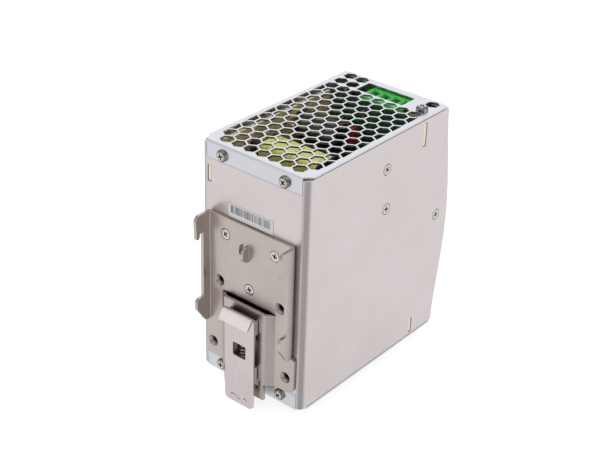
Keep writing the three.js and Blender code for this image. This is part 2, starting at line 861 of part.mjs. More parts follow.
class SpringLine extends THREE.Curve {
  getPoint(t, target = new THREE.Vector3()) {
    const angle = 2 * Math.PI * springTurns * t;
    const low = springSeat + springWire / 2 + fineGap;
    const high = lugHeight - springWire / 2 - fineGap;
    const x = springX + springRadius * Math.cos(angle);
    const y = springY + springRadius * Math.sin(angle);
    return target.set(x, y, low + (high - low) * t);
  }
}

const wireSection = new THREE.Shape();
wireSection.absarc(0, 0, springWire / 2, 0, 2 * Math.PI, false);
const springGeometry = new THREE.ExtrudeGeometry(wireSection, {
  steps: springTurns * 10,
  curveSegments: 3,
  bevelEnabled: false,
  extrudePath: new SpringLine(),
});
addMesh("latch_spring", toSolid(springGeometry), ...springSteel);

// ---------------------------------------------------------------- boards

const boardFace = mainBoardX - boardSheet / 2; // where parts stand on the main board
const boardTop = caseHeight - boardMargin;
const frontBoardRear = frontBoardY + boardSheet / 2;
const frontBoardFront = frontBoardY - boardSheet / 2;

function mainBoard() {
  const rearEdge = backInside - coverSheet - fineGap - gap;
  const board = box(
    [boardFace, frontBoardRear + gap, boardMargin],
    [boardFace + boardSheet, rearEdge, boardTop],
  );
  const low = slitHeight[0] + gap;
  const high = slitHeight[1] - gap;
  const tab = box([boardFace, rearEdge - 1, low], [boardFace + boardSheet, -gap, high]);
  return join(board, tab);
}

function frontBoard() {
  const inner = sideInside - gap;
  let board = box([-inner, frontBoardFront, boardMargin], [inner, frontBoardRear, boardTop]);
  for (const [bottom, top] of sideSlots) {
    const low = Math.max(bottom + gap, boardMargin);
    const high = Math.min(top - gap, boardTop);
    const tab = box([-caseWidth / 2 + gap, frontBoardFront, low], [-inner + 1, frontBoardRear, high]);
    board = join(board, tab);
  }
  return board;
}

addMesh("main_board", mainBoard(), ...boardTan);
addMesh("front_board", frontBoard(), ...boardGreen);

const insulationSheet = 0.4;
const insulationX = sideInside - fineGap - insulationSheet;
const insulation = box(
  [insulationX, frontBoardRear + 2, boardMargin + 1],
  [insulationX + insulationSheet, backInside - coverSheet - 2, boardTop - 1],
);
addMesh("insulation_sheet", insulation, 0xe6e4da, 0.35, 0);

const standing = boardFace - gap; // x where parts on the main board begin

// ---------------------------------------------------------------- transformer

const transformer = { y: -32.6, z: 98.6, near: 25.4, far: -21.1, yoke: 4.5, coreRise: 8 };
const legHalf = 3.5;
const outerLeg = 5;
const windingHalf = { y: 7.5, z: 18.8 };
const coreHalf = windingHalf.y + 1 + outerLeg;
const bobbinWall = 1;

function rectangleX(centreY, centreZ, halfY, halfZ, x0, x1, radius = 0) {
  const shape = outline([
    [centreY - halfY, centreZ - halfZ, radius],
    [centreY + halfY, centreZ - halfZ, radius],
    [centreY + halfY, centreZ + halfZ, radius],
    [centreY - halfY, centreZ + halfZ, radius],
  ]);
  return prismX(shape, x0, x1, 5);
}

const { y: coilY, z: coilZ } = transformer;
const coreNear = transformer.near;
const coreFar = transformer.far;
const windowNear = coreNear - transformer.yoke;
const windowFar = coreFar + transformer.yoke;

function transformerCore() {
  const low = [coreFar, coilY - coreHalf, coilZ - transformer.coreRise];
  const high = [coreNear, coilY + coreHalf, coilZ + transformer.coreRise];
  const openWidth = coreHalf - outerLeg - legHalf;
  const openings = [1, -1].map((side) => {
    const middle = coilY + side * (legHalf + openWidth / 2);
    const z0 = low[2] - 1;
    const z1 = high[2] + 1;
    return box([windowFar, middle - openWidth / 2, z0], [windowNear, middle + openWidth / 2, z1]);
  });
  return cut(box(low, high), ...openings);
}

function transformerBobbin() {
  const inY = legHalf + gap;
  const inZ = transformer.coreRise + gap;
  const x0 = windowFar + gap;
  const x1 = windowNear - gap;
  const { y: flangeY, z: flangeZ } = windingHalf;
  const tube = rectangleX(coilY, coilZ, inY + bobbinWall, inZ + bobbinWall, x0, x1);
  const far = rectangleX(coilY, coilZ, flangeY, flangeZ, x0, x0 + bobbinWall, 2);
  const near = rectangleX(coilY, coilZ, flangeY, flangeZ, x1 - bobbinWall, x1, 2);
  const bore = rectangleX(coilY, coilZ, inY, inZ, x0 - 1, x1 + 1);

  // Two pin rails carry it on the board, above and below the core.
  const railSpan = [transformer.coreRise + 2 * gap, flangeZ - 2];
  const rails = [1, -1].map((side) => {
    const levels = railSpan.map((rise) => coilZ + side * rise).sort((a, b) => a - b);
    const low = [x1 - bobbinWall, coilY - flangeY + 2, levels[0]];
    return box(low, [standing, coilY + flangeY - 2, levels[1]]);
  });
  return join(cut(join(tube, far, near), bore), ...rails);
}

function transformerWinding() {
  const x0 = windowFar + gap + bobbinWall + gap;
  const x1 = windowNear - gap - bobbinWall - gap;
  const inY = legHalf + bobbinWall + 2 * gap;
  const inZ = transformer.coreRise + bobbinWall + 2 * gap;
  const wound = rectangleX(coilY, coilZ, windingHalf.y, windingHalf.z - 0.4, x0, x1, 2.5);
  return cut(wound, rectangleX(coilY, coilZ, inY, inZ, x0 - 1, x1 + 1));
}

addMesh("transformer_core", transformerCore(), ...ferrite);
addMesh("transformer_bobbin", transformerBobbin(), ...blackPlastic);
addMesh("transformer_winding", transformerWinding(), ...yellowTape);

// ---------------------------------------------------------------- wound parts and capacitors

// A drum core standing on the main board, and the winding between its flanges.
const drum = { y: -48, z: 54, radius: 13.5, neck: 6, height: 26, flange: 3 };
const towardsRight = [-1, 0, 0];
const drumPlace = [standing, drum.y, drum.z];
const drumCore = turned(
  [
    [0, 0],
    [drum.radius, 0],
    [drum.radius, drum.flange],
    [drum.neck, drum.flange],
    [drum.neck, drum.height - drum.flange],
    [drum.radius, drum.height - drum.flange],
    [drum.radius, drum.height],
    [0, drum.height],
  ],
  drumPlace,
  towardsRight,
  20,
);
const drumWinding = turned(
  [
    [drum.neck + gap, drum.flange + gap],
    [drum.radius - 1, drum.flange + gap],
    [drum.radius - 1, drum.height - drum.flange - gap],
    [drum.neck + gap, drum.height - drum.flange - gap],
    [drum.neck + gap, drum.flange + gap],
  ],
  drumPlace,
  towardsRight,
  20,
);
addMesh("boost_choke_core", drumCore, ...ferrite);
addMesh("boost_choke_winding", drumWinding, ...copper);

// The mains filter choke: a closed frame core with its windings on two legs, on a base plate.
const filter = { y: -56, z: 20, halfY: 11, halfZ: 10, leg: 4, deep: 5, grown: 2.4 };
filter.x = standing - filter.grown;
function filterCore() {
  const { y, z, halfY, halfZ, leg, deep, x } = filter;
  const frame = rectangleX(y, z, halfY, halfZ, x - deep, x);
  return cut(frame, rectangleX(y, z, halfY - leg, halfZ - leg, x - deep - 1, x + 1));
}

function filterWinding(side) {
  const { y, z, halfY, halfZ, leg, deep, grown, x } = filter;
  const middle = y + side * (halfY - leg / 2);
  const z0 = z - halfZ + leg + gap;
  const z1 = z + halfZ - leg - gap;
  const low = [x - deep - grown, middle - leg / 2 - grown, z0];
  const high = [x + grown, middle + leg / 2 + grown, z1];
  const boreLow = [x - deep - gap, middle - leg / 2 - gap, z0 - 1];
  const boreHigh = [x + gap, middle + leg / 2 + gap, z1 + 1];
  return cut(box(low, high), box(boreLow, boreHigh));
}

addMesh("filter_choke_core", filterCore(), ...ferrite);
addMesh("filter_choke_winding_1", filterWinding(1), ...copper);
addMesh("filter_choke_winding_2", filterWinding(-1), ...copper);

// A can capacitor, standing on the main board, with a crimped groove near its foot.
function canCapacitor(y, z, radius, height) {
  const profile = [
    [0, 0],
    [radius * 0.92, 0],
    [radius, 0.8],
    [radius, 2.2],
    [radius * 0.93, 2.8],
    [radius, 3.4],
    [radius, height - 0.6],
    [radius - 0.6, height],
    [0, height],
  ];
  return turned(profile, [standing, y, z], towardsRight, 20);
}

const capacitors = {
  bulk_capacitor_1: [-17.5, 57.5, 11, 42],
  bulk_capacitor_2: [-17.5, 33.5, 11, 42],
  output_capacitor_1: [-64, 113.5, 6.3, 26],
  output_capacitor_2: [-64, 99.5, 6.3, 26],
  output_capacitor_3: [-79, 87, 6.3, 26],
};
for (const [name, place] of Object.entries(capacitors)) {
  addMesh(name, canCapacitor(...place), 0x1b1c20, 0.4, 0);
}

const filterCapacitor = box([standing - 17, -38, 4], [standing, -8, 18]);
addMesh("filter_capacitor", filterCapacitor, 0xd8c23a, 0.5, 0);

// A dipped film capacitor on its two wire legs.
const film = { x: 2.6, length: 16.5, y: -77.2, z: 107, halfY: 4.4, halfZ: 5.2, leg: 0.5 };
function filmCapacitor() {
  const { x, length, y, z, halfY, halfZ, leg } = film;
  const body = rectangleX(y, z, halfY, halfZ, x, x + length, 3.2);
  const legs = [1, -1].map((side) => {
    const middle = z + side * (halfZ - 3);
    return box([x + length - 1, y - leg, middle - leg], [standing, y + leg, middle + leg]);
  });
  return join(body, ...legs);
}
addMesh("film_capacitor", filmCapacitor(), 0xa82420, 0.4, 0);

const fuse = { radius: 3.1, length: 22, y: -78, z: 8 };
const fusePlace = [standing - fuse.radius, fuse.y, fuse.z];
const fuseSolid = cylinder(fuse.radius, fuse.length, fusePlace, [0, 0, 1], 12);
addMesh("input_fuse", fuseSolid, 0xe8e4d8, 0.4, 0);

function thermistor() {
  const disc = cylinder(7, 4.6, [12, -79.3, 42], [0, 1, 0], 20);
  const legs = [2.5, -2.5].map((z) => box([11, -77.5, 41.5 + z], [standing, -76.5, 42.5 + z]));
  return join(disc, ...legs);
}
addMesh("inrush_thermistor", thermistor(), 0x1f2a24, 0.6, 0);

// ---------------------------------------------------------------- heat sinks and semiconductors

const sinkPlate = { low: 76.6, thick: 2.6, far: -24, rear: -5, front: -68 };
const primarySink = box(
  [sinkPlate.far, sinkPlate.front, sinkPlate.low],
  [standing, sinkPlate.rear, sinkPlate.low + sinkPlate.thick],
);
addMesh("primary_heatsink", primarySink, ...blackAluminium);

const underSink = sinkPlate.low - fineGap;
const packageThick = 4.8;
const transistors = { switch_transistor_1: -18, switch_transistor_2: -36 };
for (const [name, y] of Object.entries(transistors)) {
  const low = [-16, y - 8, underSink - packageThick];
  addMesh(name, box(low, [5, y + 8, underSink]), ...blackPlastic);
}
const bridge = box([-14, -66, underSink - 4], [6, -50, underSink]);
addMesh("bridge_rectifier", bridge, ...blackPlastic);

const sideSink = { thick: 3.2, rear: -56.4, front: -86.5, low: 80, high: 117 };
function outputSink() {
  const outer = -sideInside + fineGap;
  const low = [outer, sideSink.front, sideSink.low];
  const high = [outer + sideSink.thick, sideSink.rear, sideSink.high];
  const holes = ["upper", "lower"].map((name) => {
    const [y, z] = sideScrews[name];
    return plainHole([outer, y, z], right, 12);
  });
  return cut(box(low, high), ...holes);
}
addMesh("output_heatsink", outputSink(), ...blackAluminium);

const sinkFace = -sideInside + fineGap + sideSink.thick + fineGap;
const rectifiers = { output_rectifier_1: -68.5, output_rectifier_2: -80.5 };
for (const [name, y] of Object.entries(rectifiers)) {
  const low = [sinkFace, y - 5.2, 90];
  addMesh(name, box(low, [sinkFace + 4.6, y + 5.2, 105.5]), ...blackPlastic);
}

// ---------------------------------------------------------------- terminal blocks

const blockRear = frontBoardFront - gap;
const blockFront = blockRear - terminalDepth;
const socketHalf = 2.3;
const socketLong = 3.4; // half its length, front to back
const socketDepth = 7.4;
const funnel = 0.6;
const clampRecess = 1.5;
const clampLength = 3.6;

function terminalBlock(top) {
  const pitch = top ? outputPitch : inputPitch;
  const places = clampPlaces(top);
  const outerLevel = top ? caseHeight - terminalInset : terminalInset;
  const direction = top ? -1 : 1;
  const level = (distance) => outerLevel + direction * distance;
  const span = (from, to) => [Math.min(level(from), level(to)), Math.max(level(from), level(to))];
  const [low, high] = span(0, terminalHeight);
  const left = places[0][0] + pitch / 2 + 0.5;
  const far = places.at(-1)[0] - pitch / 2 - 0.5;
  let block = box([far, blockFront, low], [left, blockRear, high]);
  const socketY = terminalWindow.back + terminalWindow.depth / 2 + 1.4;
  for (const [x, z] of places) {
    const wide = Math.min(socketHalf, pitch / 2 - 0.8);
    const [s0, s1] = span(-1, socketDepth);
    block = cut(block, box([x - wide, -socketY - socketLong, s0], [x + wide, -socketY + socketLong, s1]));
    const rim = wide + funnel;
    const [f0, f1] = span(-1, funnel);
    const reach = socketLong + funnel;
    block = cut(block, box([x - rim, -socketY - reach, f0], [x + rim, -socketY + reach, f1]));
    const bore = 1 + clampRecess + clampLength + gap;
    block = cut(block, cylinder(clampRadius + gap, bore, [x, blockFront - 1, z], [0, 1, 0]));
  }
  return block;
}

// A clamp screw, its slotted head a little below the block's face.
function clampScrew([x, z]) {
  const front = blockFront + clampRecess;
  const body = cylinder(clampRadius, clampLength - gap, [x, front, z], [0, 1, 0], 16);
  const slot = box([x - 3, front - 1, z - 0.35], [x + 3, front + 0.9, z + 0.35]);
  return cut(body, slot);
}

addMesh("output_terminal_block", terminalBlock(true), ...terminalGreen);
addMesh("input_terminal_block", terminalBlock(false), ...terminalGreen);
clampPlaces(true).forEach((place, i) => {
  addMesh(`output_clamp_screw_${i + 1}`, clampScrew(place), ...screwSteel);
});
clampPlaces(false).forEach((place, i) => {
  addMesh(`input_clamp_screw_${i + 1}`, clampScrew(place), ...screwSteel);
});

// ---------------------------------------------------------------- trimmer and status light

const trimmerDepth = 5;
const [trimmerX, trimmerZ] = trimmerPlace;
const trimmerFace = blockRear - trimmerDepth;
const trimmerBody = box(
  [trimmerX - 3.5, trimmerFace, trimmerZ - 3.5],
  [trimmerX + 3.5, blockRear, trimmerZ + 3.5],
);
addMesh("voltage_trimmer_body", trimmerBody, 0x2b55a8, 0.5, 0);

const knobLength = 7;
const knobFront = trimmerFace - gap - knobLength;
const knobShaft = cylinder(2, knobLength, [trimmerX, knobFront, trimmerZ], [0, 1, 0], 16);
const knobSlot = box(
  [trimmerX - 3, knobFront - 1, trimmerZ - 0.35],
  [trimmerX + 3, knobFront + 0.9, trimmerZ + 0.35],
);
addMesh("voltage_trimmer_knob", cut(knobShaft, knobSlot), 0xe8e6e0, 0.5, 0);

const [lightX, lightZ] = lightPlace;
const lightTip = -frontLine(lightZ) + panelInset - 0.4;
const lightPipe = turned(
  [
    [0, 0],
    [lightRadius + 0.8, 0],
    [lightRadius + 0.8, 3],
    [lightRadius, 3],
    [lightRadius, blockRear - lightTip - 0.5],
    [lightRadius - 0.5, blockRear - lightTip],
    [0, blockRear - lightTip],
  ],
  [lightX, blockRear, lightZ],
  [0, -1, 0],
  16,
);
addMesh("status_light_pipe", lightPipe, 0x8fe08a, 0.2, 0);

export default part;
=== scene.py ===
import math

import bmesh
import bpy
from mathutils import Matrix, Vector


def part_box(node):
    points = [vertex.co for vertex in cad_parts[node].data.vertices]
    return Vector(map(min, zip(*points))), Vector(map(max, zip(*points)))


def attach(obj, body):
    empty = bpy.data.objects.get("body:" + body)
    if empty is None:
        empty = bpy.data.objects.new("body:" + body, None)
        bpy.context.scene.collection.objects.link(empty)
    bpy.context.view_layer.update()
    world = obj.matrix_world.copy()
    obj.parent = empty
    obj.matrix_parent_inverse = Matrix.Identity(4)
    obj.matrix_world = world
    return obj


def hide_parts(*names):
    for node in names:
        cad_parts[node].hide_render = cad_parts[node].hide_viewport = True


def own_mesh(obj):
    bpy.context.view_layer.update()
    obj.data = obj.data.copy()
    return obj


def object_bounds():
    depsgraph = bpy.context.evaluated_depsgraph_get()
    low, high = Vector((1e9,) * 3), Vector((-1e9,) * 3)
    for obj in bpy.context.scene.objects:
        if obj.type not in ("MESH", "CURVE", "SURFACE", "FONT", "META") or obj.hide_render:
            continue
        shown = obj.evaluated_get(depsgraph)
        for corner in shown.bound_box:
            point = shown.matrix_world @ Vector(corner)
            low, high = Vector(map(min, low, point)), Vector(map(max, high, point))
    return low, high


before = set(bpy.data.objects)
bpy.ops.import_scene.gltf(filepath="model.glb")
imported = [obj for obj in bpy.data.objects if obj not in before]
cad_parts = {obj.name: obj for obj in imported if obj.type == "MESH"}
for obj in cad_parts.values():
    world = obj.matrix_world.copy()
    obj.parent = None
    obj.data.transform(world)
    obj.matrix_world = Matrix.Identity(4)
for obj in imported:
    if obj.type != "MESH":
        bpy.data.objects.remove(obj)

cad_low, cad_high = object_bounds()
scene = bpy.context.scene


# Studio.
# A pale floor under the unit, a soft white sky and four soft boxes, as on a product table.
def aim(item, place, target):
    item.location = place
    item.rotation_mode = "QUATERNION"
    item.rotation_quaternion = (Vector(target) - Vector(place)).to_track_quat("-Z", "Y")


camera_data = bpy.data.cameras.new("camera")
camera_data.sensor_width = 36.0
camera_data.lens = 79.64
camera = bpy.data.objects.new("camera", camera_data)
camera.rotation_mode = "QUATERNION"
camera_right = Vector((-0.7672, -0.6407, 0.0285))
camera_up = Vector((0.3353, -0.3628, 0.8694))
camera_back = Vector((-0.5468, 0.6766, 0.4932))
camera_axes = Matrix((camera_right, camera_up, camera_back)).transposed()
camera.rotation_quaternion = camera_axes.to_quaternion().normalized()
camera.location = (-0.34681, 0.38858, 0.32726)
camera_data.clip_start = 0.01
scene.collection.objects.link(camera)
scene.camera = camera


def soft_box(name, place, target, size, watts, color):
    light = bpy.data.lights.new(name, "AREA")
    light.shape = "RECTANGLE"
    light.size, light.size_y = size
    light.energy = watts
    light.color = color
    lamp = bpy.data.objects.new(name, light)
    aim(lamp, place, target)
    scene.collection.objects.link(lamp)


soft_box("overhead_box", (0.1, 0.05, 1.3), (0, -0.05, 0), (1.2, 1.0), 3.2, (1.0, 0.99, 0.98))
soft_box("side_box", (-1.3, -0.35, 0.5), (0, -0.05, 0), (1.1, 0.9), 2.2, (1.0, 1.0, 1.0))
soft_box("rear_box", (0.55, 1.2, 0.55), (0, -0.05, 0), (0.8, 0.8), 1.5, (1.0, 0.97, 0.94))
soft_box("front_box", (0.82, -1.06, 0.80), (0, -0.05, 0.05), (1.6, 1.4), 4.6, (1.0, 1.0, 1.0))

world = bpy.data.worlds.new("sky")
world.use_nodes = True
sky = world.node_tree
sky.nodes.clear()
sky_out = sky.nodes.new("ShaderNodeOutputWorld")
sky_light = sky.nodes.new("ShaderNodeBackground")
sky_ramp = sky.nodes.new("ShaderNodeValToRGB")
sky_split = sky.nodes.new("ShaderNodeSeparateXYZ")
sky_place = sky.nodes.new("ShaderNodeTexCoord")
sky_ramp.color_ramp.elements[0].position = 0.0
sky_ramp.color_ramp.elements[0].color = (0.62, 0.62, 0.64, 1)
sky_ramp.color_ramp.elements[1].position = 0.9
sky_ramp.color_ramp.elements[1].color = (1.0, 1.0, 1.0, 1)
sky.links.new(sky_place.outputs["Generated"], sky_split.inputs[0])
sky.links.new(sky_split.outputs["Z"], sky_ramp.inputs[0])
sky.links.new(sky_ramp.outputs[0], sky_light.inputs[0])
sky_light.inputs[1].default_value = 0.85
sky.links.new(sky_light.outputs[0], sky_out.inputs[0])
scene.world = world
scene.view_settings.view_transform = "Standard"

floor_mesh = bpy.data.meshes.new("floor")
floor_z = cad_low.z - 0.0002
floor_corners = [(-4, -4, floor_z), (4, -4, floor_z), (4, 4, floor_z), (-4, 4, floor_z)]
floor_mesh.from_pydata(floor_corners, [], [(0, 1, 2, 3)])
floor = bpy.data.objects.new("floor", floor_mesh)
scene.collection.objects.link(floor)
floor_paint = bpy.data.materials.new("pale_floor")
floor_paint.use_nodes = True
floor_shader = floor_paint.node_tree.nodes["Principled BSDF"]
floor_shader.inputs["Base Color"].default_value = (0.30, 0.30, 0.30, 1)
floor_shader.inputs["Roughness"].default_value = 0.8
floor_shader.inputs["Emission Color"].default_value = (1, 1, 1, 1)
floor_shader.inputs["Emission Strength"].default_value = 0.82
floor_mesh.materials.append(floor_paint)


# Shared surface effects.
# A grain, edge wear with a painted highlight and a tilt mask for painted shade and highlights,
# that several finishes use, with the small functions that build a finish or copy a CAD solid.
def node_group(name, inputs, outputs):
    """A shader node group with float, colour or vector sockets; returns the tree and both ends."""
    tree = bpy.data.node_groups.new(name, "ShaderNodeTree")
    kinds = {"f": "NodeSocketFloat", "c": "NodeSocketColor", "v": "NodeSocketVector"}
    for label, kind, value in inputs:
        made = tree.interface.new_socket(label, in_out="INPUT", socket_type=kinds[kind])
        if value is not None:
            made.default_value = value
    for label, kind in outputs:
        tree.interface.new_socket(label, in_out="OUTPUT", socket_type=kinds[kind])
    return tree, tree.nodes.new("NodeGroupInput"), tree.nodes.new("NodeGroupOutput")


def put(tree, kind, **settings):
    """Adds a node and sets its properties."""
    node = tree.nodes.new("ShaderNode" + kind)
    for key, value in settings.items():
        setattr(node, key, value)
    return node


def wire(tree, source, target):
    tree.links.new(source, target)


def feed(tree, value, socket):
    """Sets a socket to a number or a colour, or wires another node's output to it."""
    if isinstance(value, (int, float)):
        socket.default_value = value
    elif isinstance(value, tuple):
        socket.default_value = (*value, 1)
    else:
        wire(tree, value, socket)


def shared(tree, group, **values):
    """The output of a shared node group, with these values on its inputs."""
    node = put(tree, "Group", node_tree=group)
    for label, value in values.items():
        node.inputs[label].default_value = value
    return node.outputs[0]


def split_axes(tree, space):
    """The three parts of a point or of a normal, by the name of their axis."""
    place = put(tree, "TexCoord")
    split = put(tree, "SeparateXYZ")
    wire(tree, place.outputs[space], split.inputs[0])
    return split.outputs


def math_node(tree, operation, first, second):
    node = put(tree, "Math", operation=operation)
    for socket, value in zip(node.inputs, (first, second)):
        feed(tree, value, socket)
    return node.outputs[0]


def remap(tree, value, low, high, out_low, out_high):
    node = put(tree, "MapRange")
    wire(tree, value, node.inputs["Value"])
    for label, number in zip(
        ("From Min", "From Max", "To Min", "To Max"), (low, high, out_low, out_high)
    ):
        feed(tree, number, node.inputs[label])
    return node.outputs["Result"]


def inside(tree, x, z, x0, x1, z0, z1):
    """One where x and z both lie between their limits, and zero elsewhere."""
    total = math_node(tree, "GREATER_THAN", x, x0)
    for operation, value, limit in (
        ("LESS_THAN", x, x1), ("GREATER_THAN", z, z0), ("LESS_THAN", z, z1)
    ):
        total = math_node(tree, "MULTIPLY", total, math_node(tree, operation, value, limit))
    return total


def emboss(tree, shader, height, strength, distance=0.0001):
    """Bumps a surface by a pattern of heights."""
    relief = put(tree, "Bump")
    relief.inputs["Strength"].default_value = strength
    relief.inputs["Distance"].default_value = distance
    wire(tree, height, relief.inputs["Height"])
    wire(tree, relief.outputs[0], shader.inputs["Normal"])


# Grain: a noise in millimetres that can be drawn out along one direction.
grain, grain_in, grain_out = node_group(
    "grain",
    [("Stretch", "v", (1, 1, 1)), ("Scale", "f", 1.0), ("Detail", "f", 4.0)],
    [("Tone", "f")],
)
grain_place = put(grain, "TexCoord")
grain_mm = put(grain, "VectorMath", operation="SCALE")
grain_mm.inputs["Scale"].default_value = 1000.0
grain_drawn = put(grain, "VectorMath", operation="MULTIPLY")
grain_noise = put(grain, "TexNoise")
wire(grain, grain_place.outputs["Object"], grain_mm.inputs[0])
wire(grain, grain_mm.outputs[0], grain_drawn.inputs[0])
wire(grain, grain_in.outputs["Stretch"], grain_drawn.inputs[1])
wire(grain, grain_drawn.outputs[0], grain_noise.inputs["Vector"])
wire(grain, grain_in.outputs["Scale"], grain_noise.inputs["Scale"])
wire(grain, grain_in.outputs["Detail"], grain_noise.inputs["Detail"])
wire(grain, grain_noise.outputs[0], grain_out.inputs["Tone"])

# Edge wear with a painted highlight: where the surface turns within a small radius, broken up
# by a fine noise; finishes brighten it, partly as wear and partly as a painted highlight.
wear_and_highlight, worn_in, worn_out = node_group(
    "edge wear and painted highlight", [("Radius", "f", 0.0004), ("Amount", "f", 1.0)], [("Edge", "f")]
)
worn_round = put(wear_and_highlight, "Bevel", samples=3)
worn_flat = put(wear_and_highlight, "NewGeometry")
worn_dot = put(wear_and_highlight, "VectorMath", operation="DOT_PRODUCT")
worn_noise = shared(wear_and_highlight, grain, Scale=1.6)
wire(wear_and_highlight, worn_in.outputs["Radius"], worn_round.inputs["Radius"])
wire(wear_and_highlight, worn_round.outputs[0], worn_dot.inputs[0])
wire(wear_and_highlight, worn_flat.outputs["Normal"], worn_dot.inputs[1])
worn_bend = remap(wear_and_highlight, worn_dot.outputs["Value"], 0.985, 0.8, 0.0, 1.0)
worn_broken = remap(wear_and_highlight, worn_noise, 0.3, 0.6, 0.45, 1.0)
wear_highlight_mask = math_node(wear_and_highlight, "MULTIPLY", worn_bend, worn_broken)
wear_highlight_share = math_node(wear_and_highlight, "MULTIPLY", wear_highlight_mask, worn_in.outputs["Amount"])
wire(wear_and_highlight, wear_highlight_share, worn_out.inputs["Edge"])


def principled(name, roughness, metallic=0.0, **fixed):
    """A new material; returns it, its tree and its Principled shader."""
    made = bpy.data.materials.new(name)
    made.use_nodes = True
    shader = made.node_tree.nodes["Principled BSDF"]
    shader.inputs["Roughness"].default_value = roughness
    shader.inputs["Metallic"].default_value = metallic
    for label, value in fixed.items():
        shader.inputs[label.replace("_", " ").title().replace("Ior", "IOR")].default_value = value
    return made, made.node_tree, shader


def blend_colors(tree, share, first, second):
    node = put(tree, "Mix", data_type="RGBA")
    wire(tree, share, node.inputs["Factor"])
    for socket, value in ((node.inputs[6], first), (node.inputs[7], second)):
        feed(tree, value, socket)
    return node.outputs[2]


def two_tone(name, low, high, scale, roughness, metallic=0.0, **fixed):
    """A smooth surface of two close tones."""
    made, tree, shader = principled(name, roughness, metallic, **fixed)
    tone = shared(tree, grain, Scale=scale)
    wire(tree, blend_colors(tree, tone, low, high), shader.inputs["Base Color"])
    return made


# Painted tilt light: one where the surface faces along none of the three axes, as on a bend.
# Finishes paint shade there (dark reflections in bends and screw domes), and a highlight on the
# latch.
painted_tilt, bent_in, bent_out = node_group("painted tilt light", [("Amount", "f", 1.0)], [("Bend", "f")])
bent_place = put(painted_tilt, "TexCoord")
bent_size = put(painted_tilt, "VectorMath", operation="ABSOLUTE")
bent_split = put(painted_tilt, "SeparateXYZ")
wire(painted_tilt, bent_place.outputs["Normal"], bent_size.inputs[0])
wire(painted_tilt, bent_size.outputs[0], bent_split.inputs[0])
bent_xy = math_node(painted_tilt, "MAXIMUM", bent_split.outputs["X"], bent_split.outputs["Y"])
bent_most = math_node(painted_tilt, "MAXIMUM", bent_xy, bent_split.outputs["Z"])
bent_mask = remap(painted_tilt, bent_most, 0.995, 0.90, 0.0, 1.0)
bent_share = math_node(painted_tilt, "MULTIPLY", bent_mask, bent_in.outputs["Amount"])
wire(painted_tilt, bent_share, bent_out.inputs["Bend"])


def plated_sheet(name, dark, light, bright, roughness, stretch, scale=0.5, bump=0.05, tilt_paint_amount=0.0,
                 tilt_paint_color=None):
    """Plated steel: a drawn grain, cloudy plating, a painted tone on tilted faces (shade unless a
    lighter colour is given), polished edges with a painted highlight, and smears.
    """
    made, tree, shader = principled(name, roughness, 1.0)
    rolled = shared(tree, grain, Stretch=stretch, Scale=scale, Detail=6.0)
    cloud = shared(tree, grain, Scale=0.045, Detail=3.0)
    edge = shared(tree, wear_and_highlight, Amount=0.75)
    mixed = math_node(tree, "ADD", rolled, cloud)
    share = remap(tree, mixed, 0.6, 1.4, 0.0, 1.0)
    plate = blend_colors(tree, share, dark, light)
    # Tilted faces take a painted tone: painted shade by default, a painted highlight where a
    # lighter colour is given.
    tilt_paint_share = shared(tree, painted_tilt, Amount=tilt_paint_amount)
    tilt_paint_tone = tilt_paint_color or tuple(0.55 * value for value in dark)
    plate = blend_colors(tree, tilt_paint_share, plate, tilt_paint_tone)
    wire(tree, blend_colors(tree, edge, plate, bright), shader.inputs["Base Color"])
    smear = remap(tree, mixed, 0.7, 1.3, roughness - 0.05, roughness + 0.07)
    wire(tree, smear, shader.inputs["Roughness"])
    emboss(tree, shader, rolled, bump)
    return made


def box_of(node):
    """The low and the high corner of a CAD node."""
    return tuple(Vector(corner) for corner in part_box(node))


def mesh_from(shape, name):
    """Turns a finished bmesh into a mesh and frees it."""
    mesh = bpy.data.meshes.new(name)
    shape.to_mesh(mesh)
    shape.free()
    return mesh


def made_from(node, name, body, finish, edge=0.00015, segments=2, smooth=30):
    """A copy of a CAD solid with its flat faces merged and its edges rounded over."""
    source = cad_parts[node]
    shape = bmesh.new()
    shape.from_mesh(source.data)
    bmesh.ops.remove_doubles(shape, verts=shape.verts, dist=2e-6)
    bmesh.ops.dissolve_limit(
        shape, angle_limit=math.radians(1.0), verts=shape.verts, edges=shape.edges
    )
    mesh = mesh_from(shape, name)
    mesh.transform(source.matrix_world)
    mesh.materials.clear()
    mesh.materials.append(finish)
    mesh.shade_smooth()
    mesh.set_sharp_from_angle(angle=math.radians(smooth))
    piece = bpy.data.objects.new(name, mesh)
    scene.collection.objects.link(piece)
    if edge:
        rounding = piece.modifiers.new("rounded edges", "BEVEL")
        rounding.width = edge
        rounding.segments = segments
        rounding.limit_method = "ANGLE"
        rounding.angle_limit = math.radians(smooth + 2)
        rounding.use_clamp_overlap = False
        rounding.harden_normals = True
    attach(piece, body)
    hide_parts(node)
    return piece


# Case shell.
# One bent U of nickel-plated sheet: back and both sides, with a fine rolled grain along its
# length. Its edges are blanked and slightly rounded, and its bends are pressed on a brake.
# Its bends take painted shade through the tilt mask, for the dark reflection in them.
nickel = plated_sheet(
    "nickel_sheet", (0.535, 0.48, 0.482), (0.615, 0.56, 0.565), (0.9, 0.87, 0.86),
    0.34, (0.8, 0.05, 4.0), 0.8, 0.03, 1.0,
)
made_from("case_shell", "shell_sheet", "root", nickel)


# Covers.
# Perforated zinc-plated plates over the top and the bottom, folded down at the back and the
# front. The zinc is bluer and brighter than the nickel, with a faint spangle.
zinc = plated_sheet(
    "zinc_sheet", (0.53, 0.535, 0.572), (0.59, 0.595, 0.638), (0.88, 0.89, 0.93),
    0.30, (1.0, 1.0, 1.0), 0.22, 0.03,
)
made_from("top_cover", "top_plate", "root", zinc, 0.0001)
made_from("bottom_cover", "bottom_plate", "root", zinc, 0.0001)


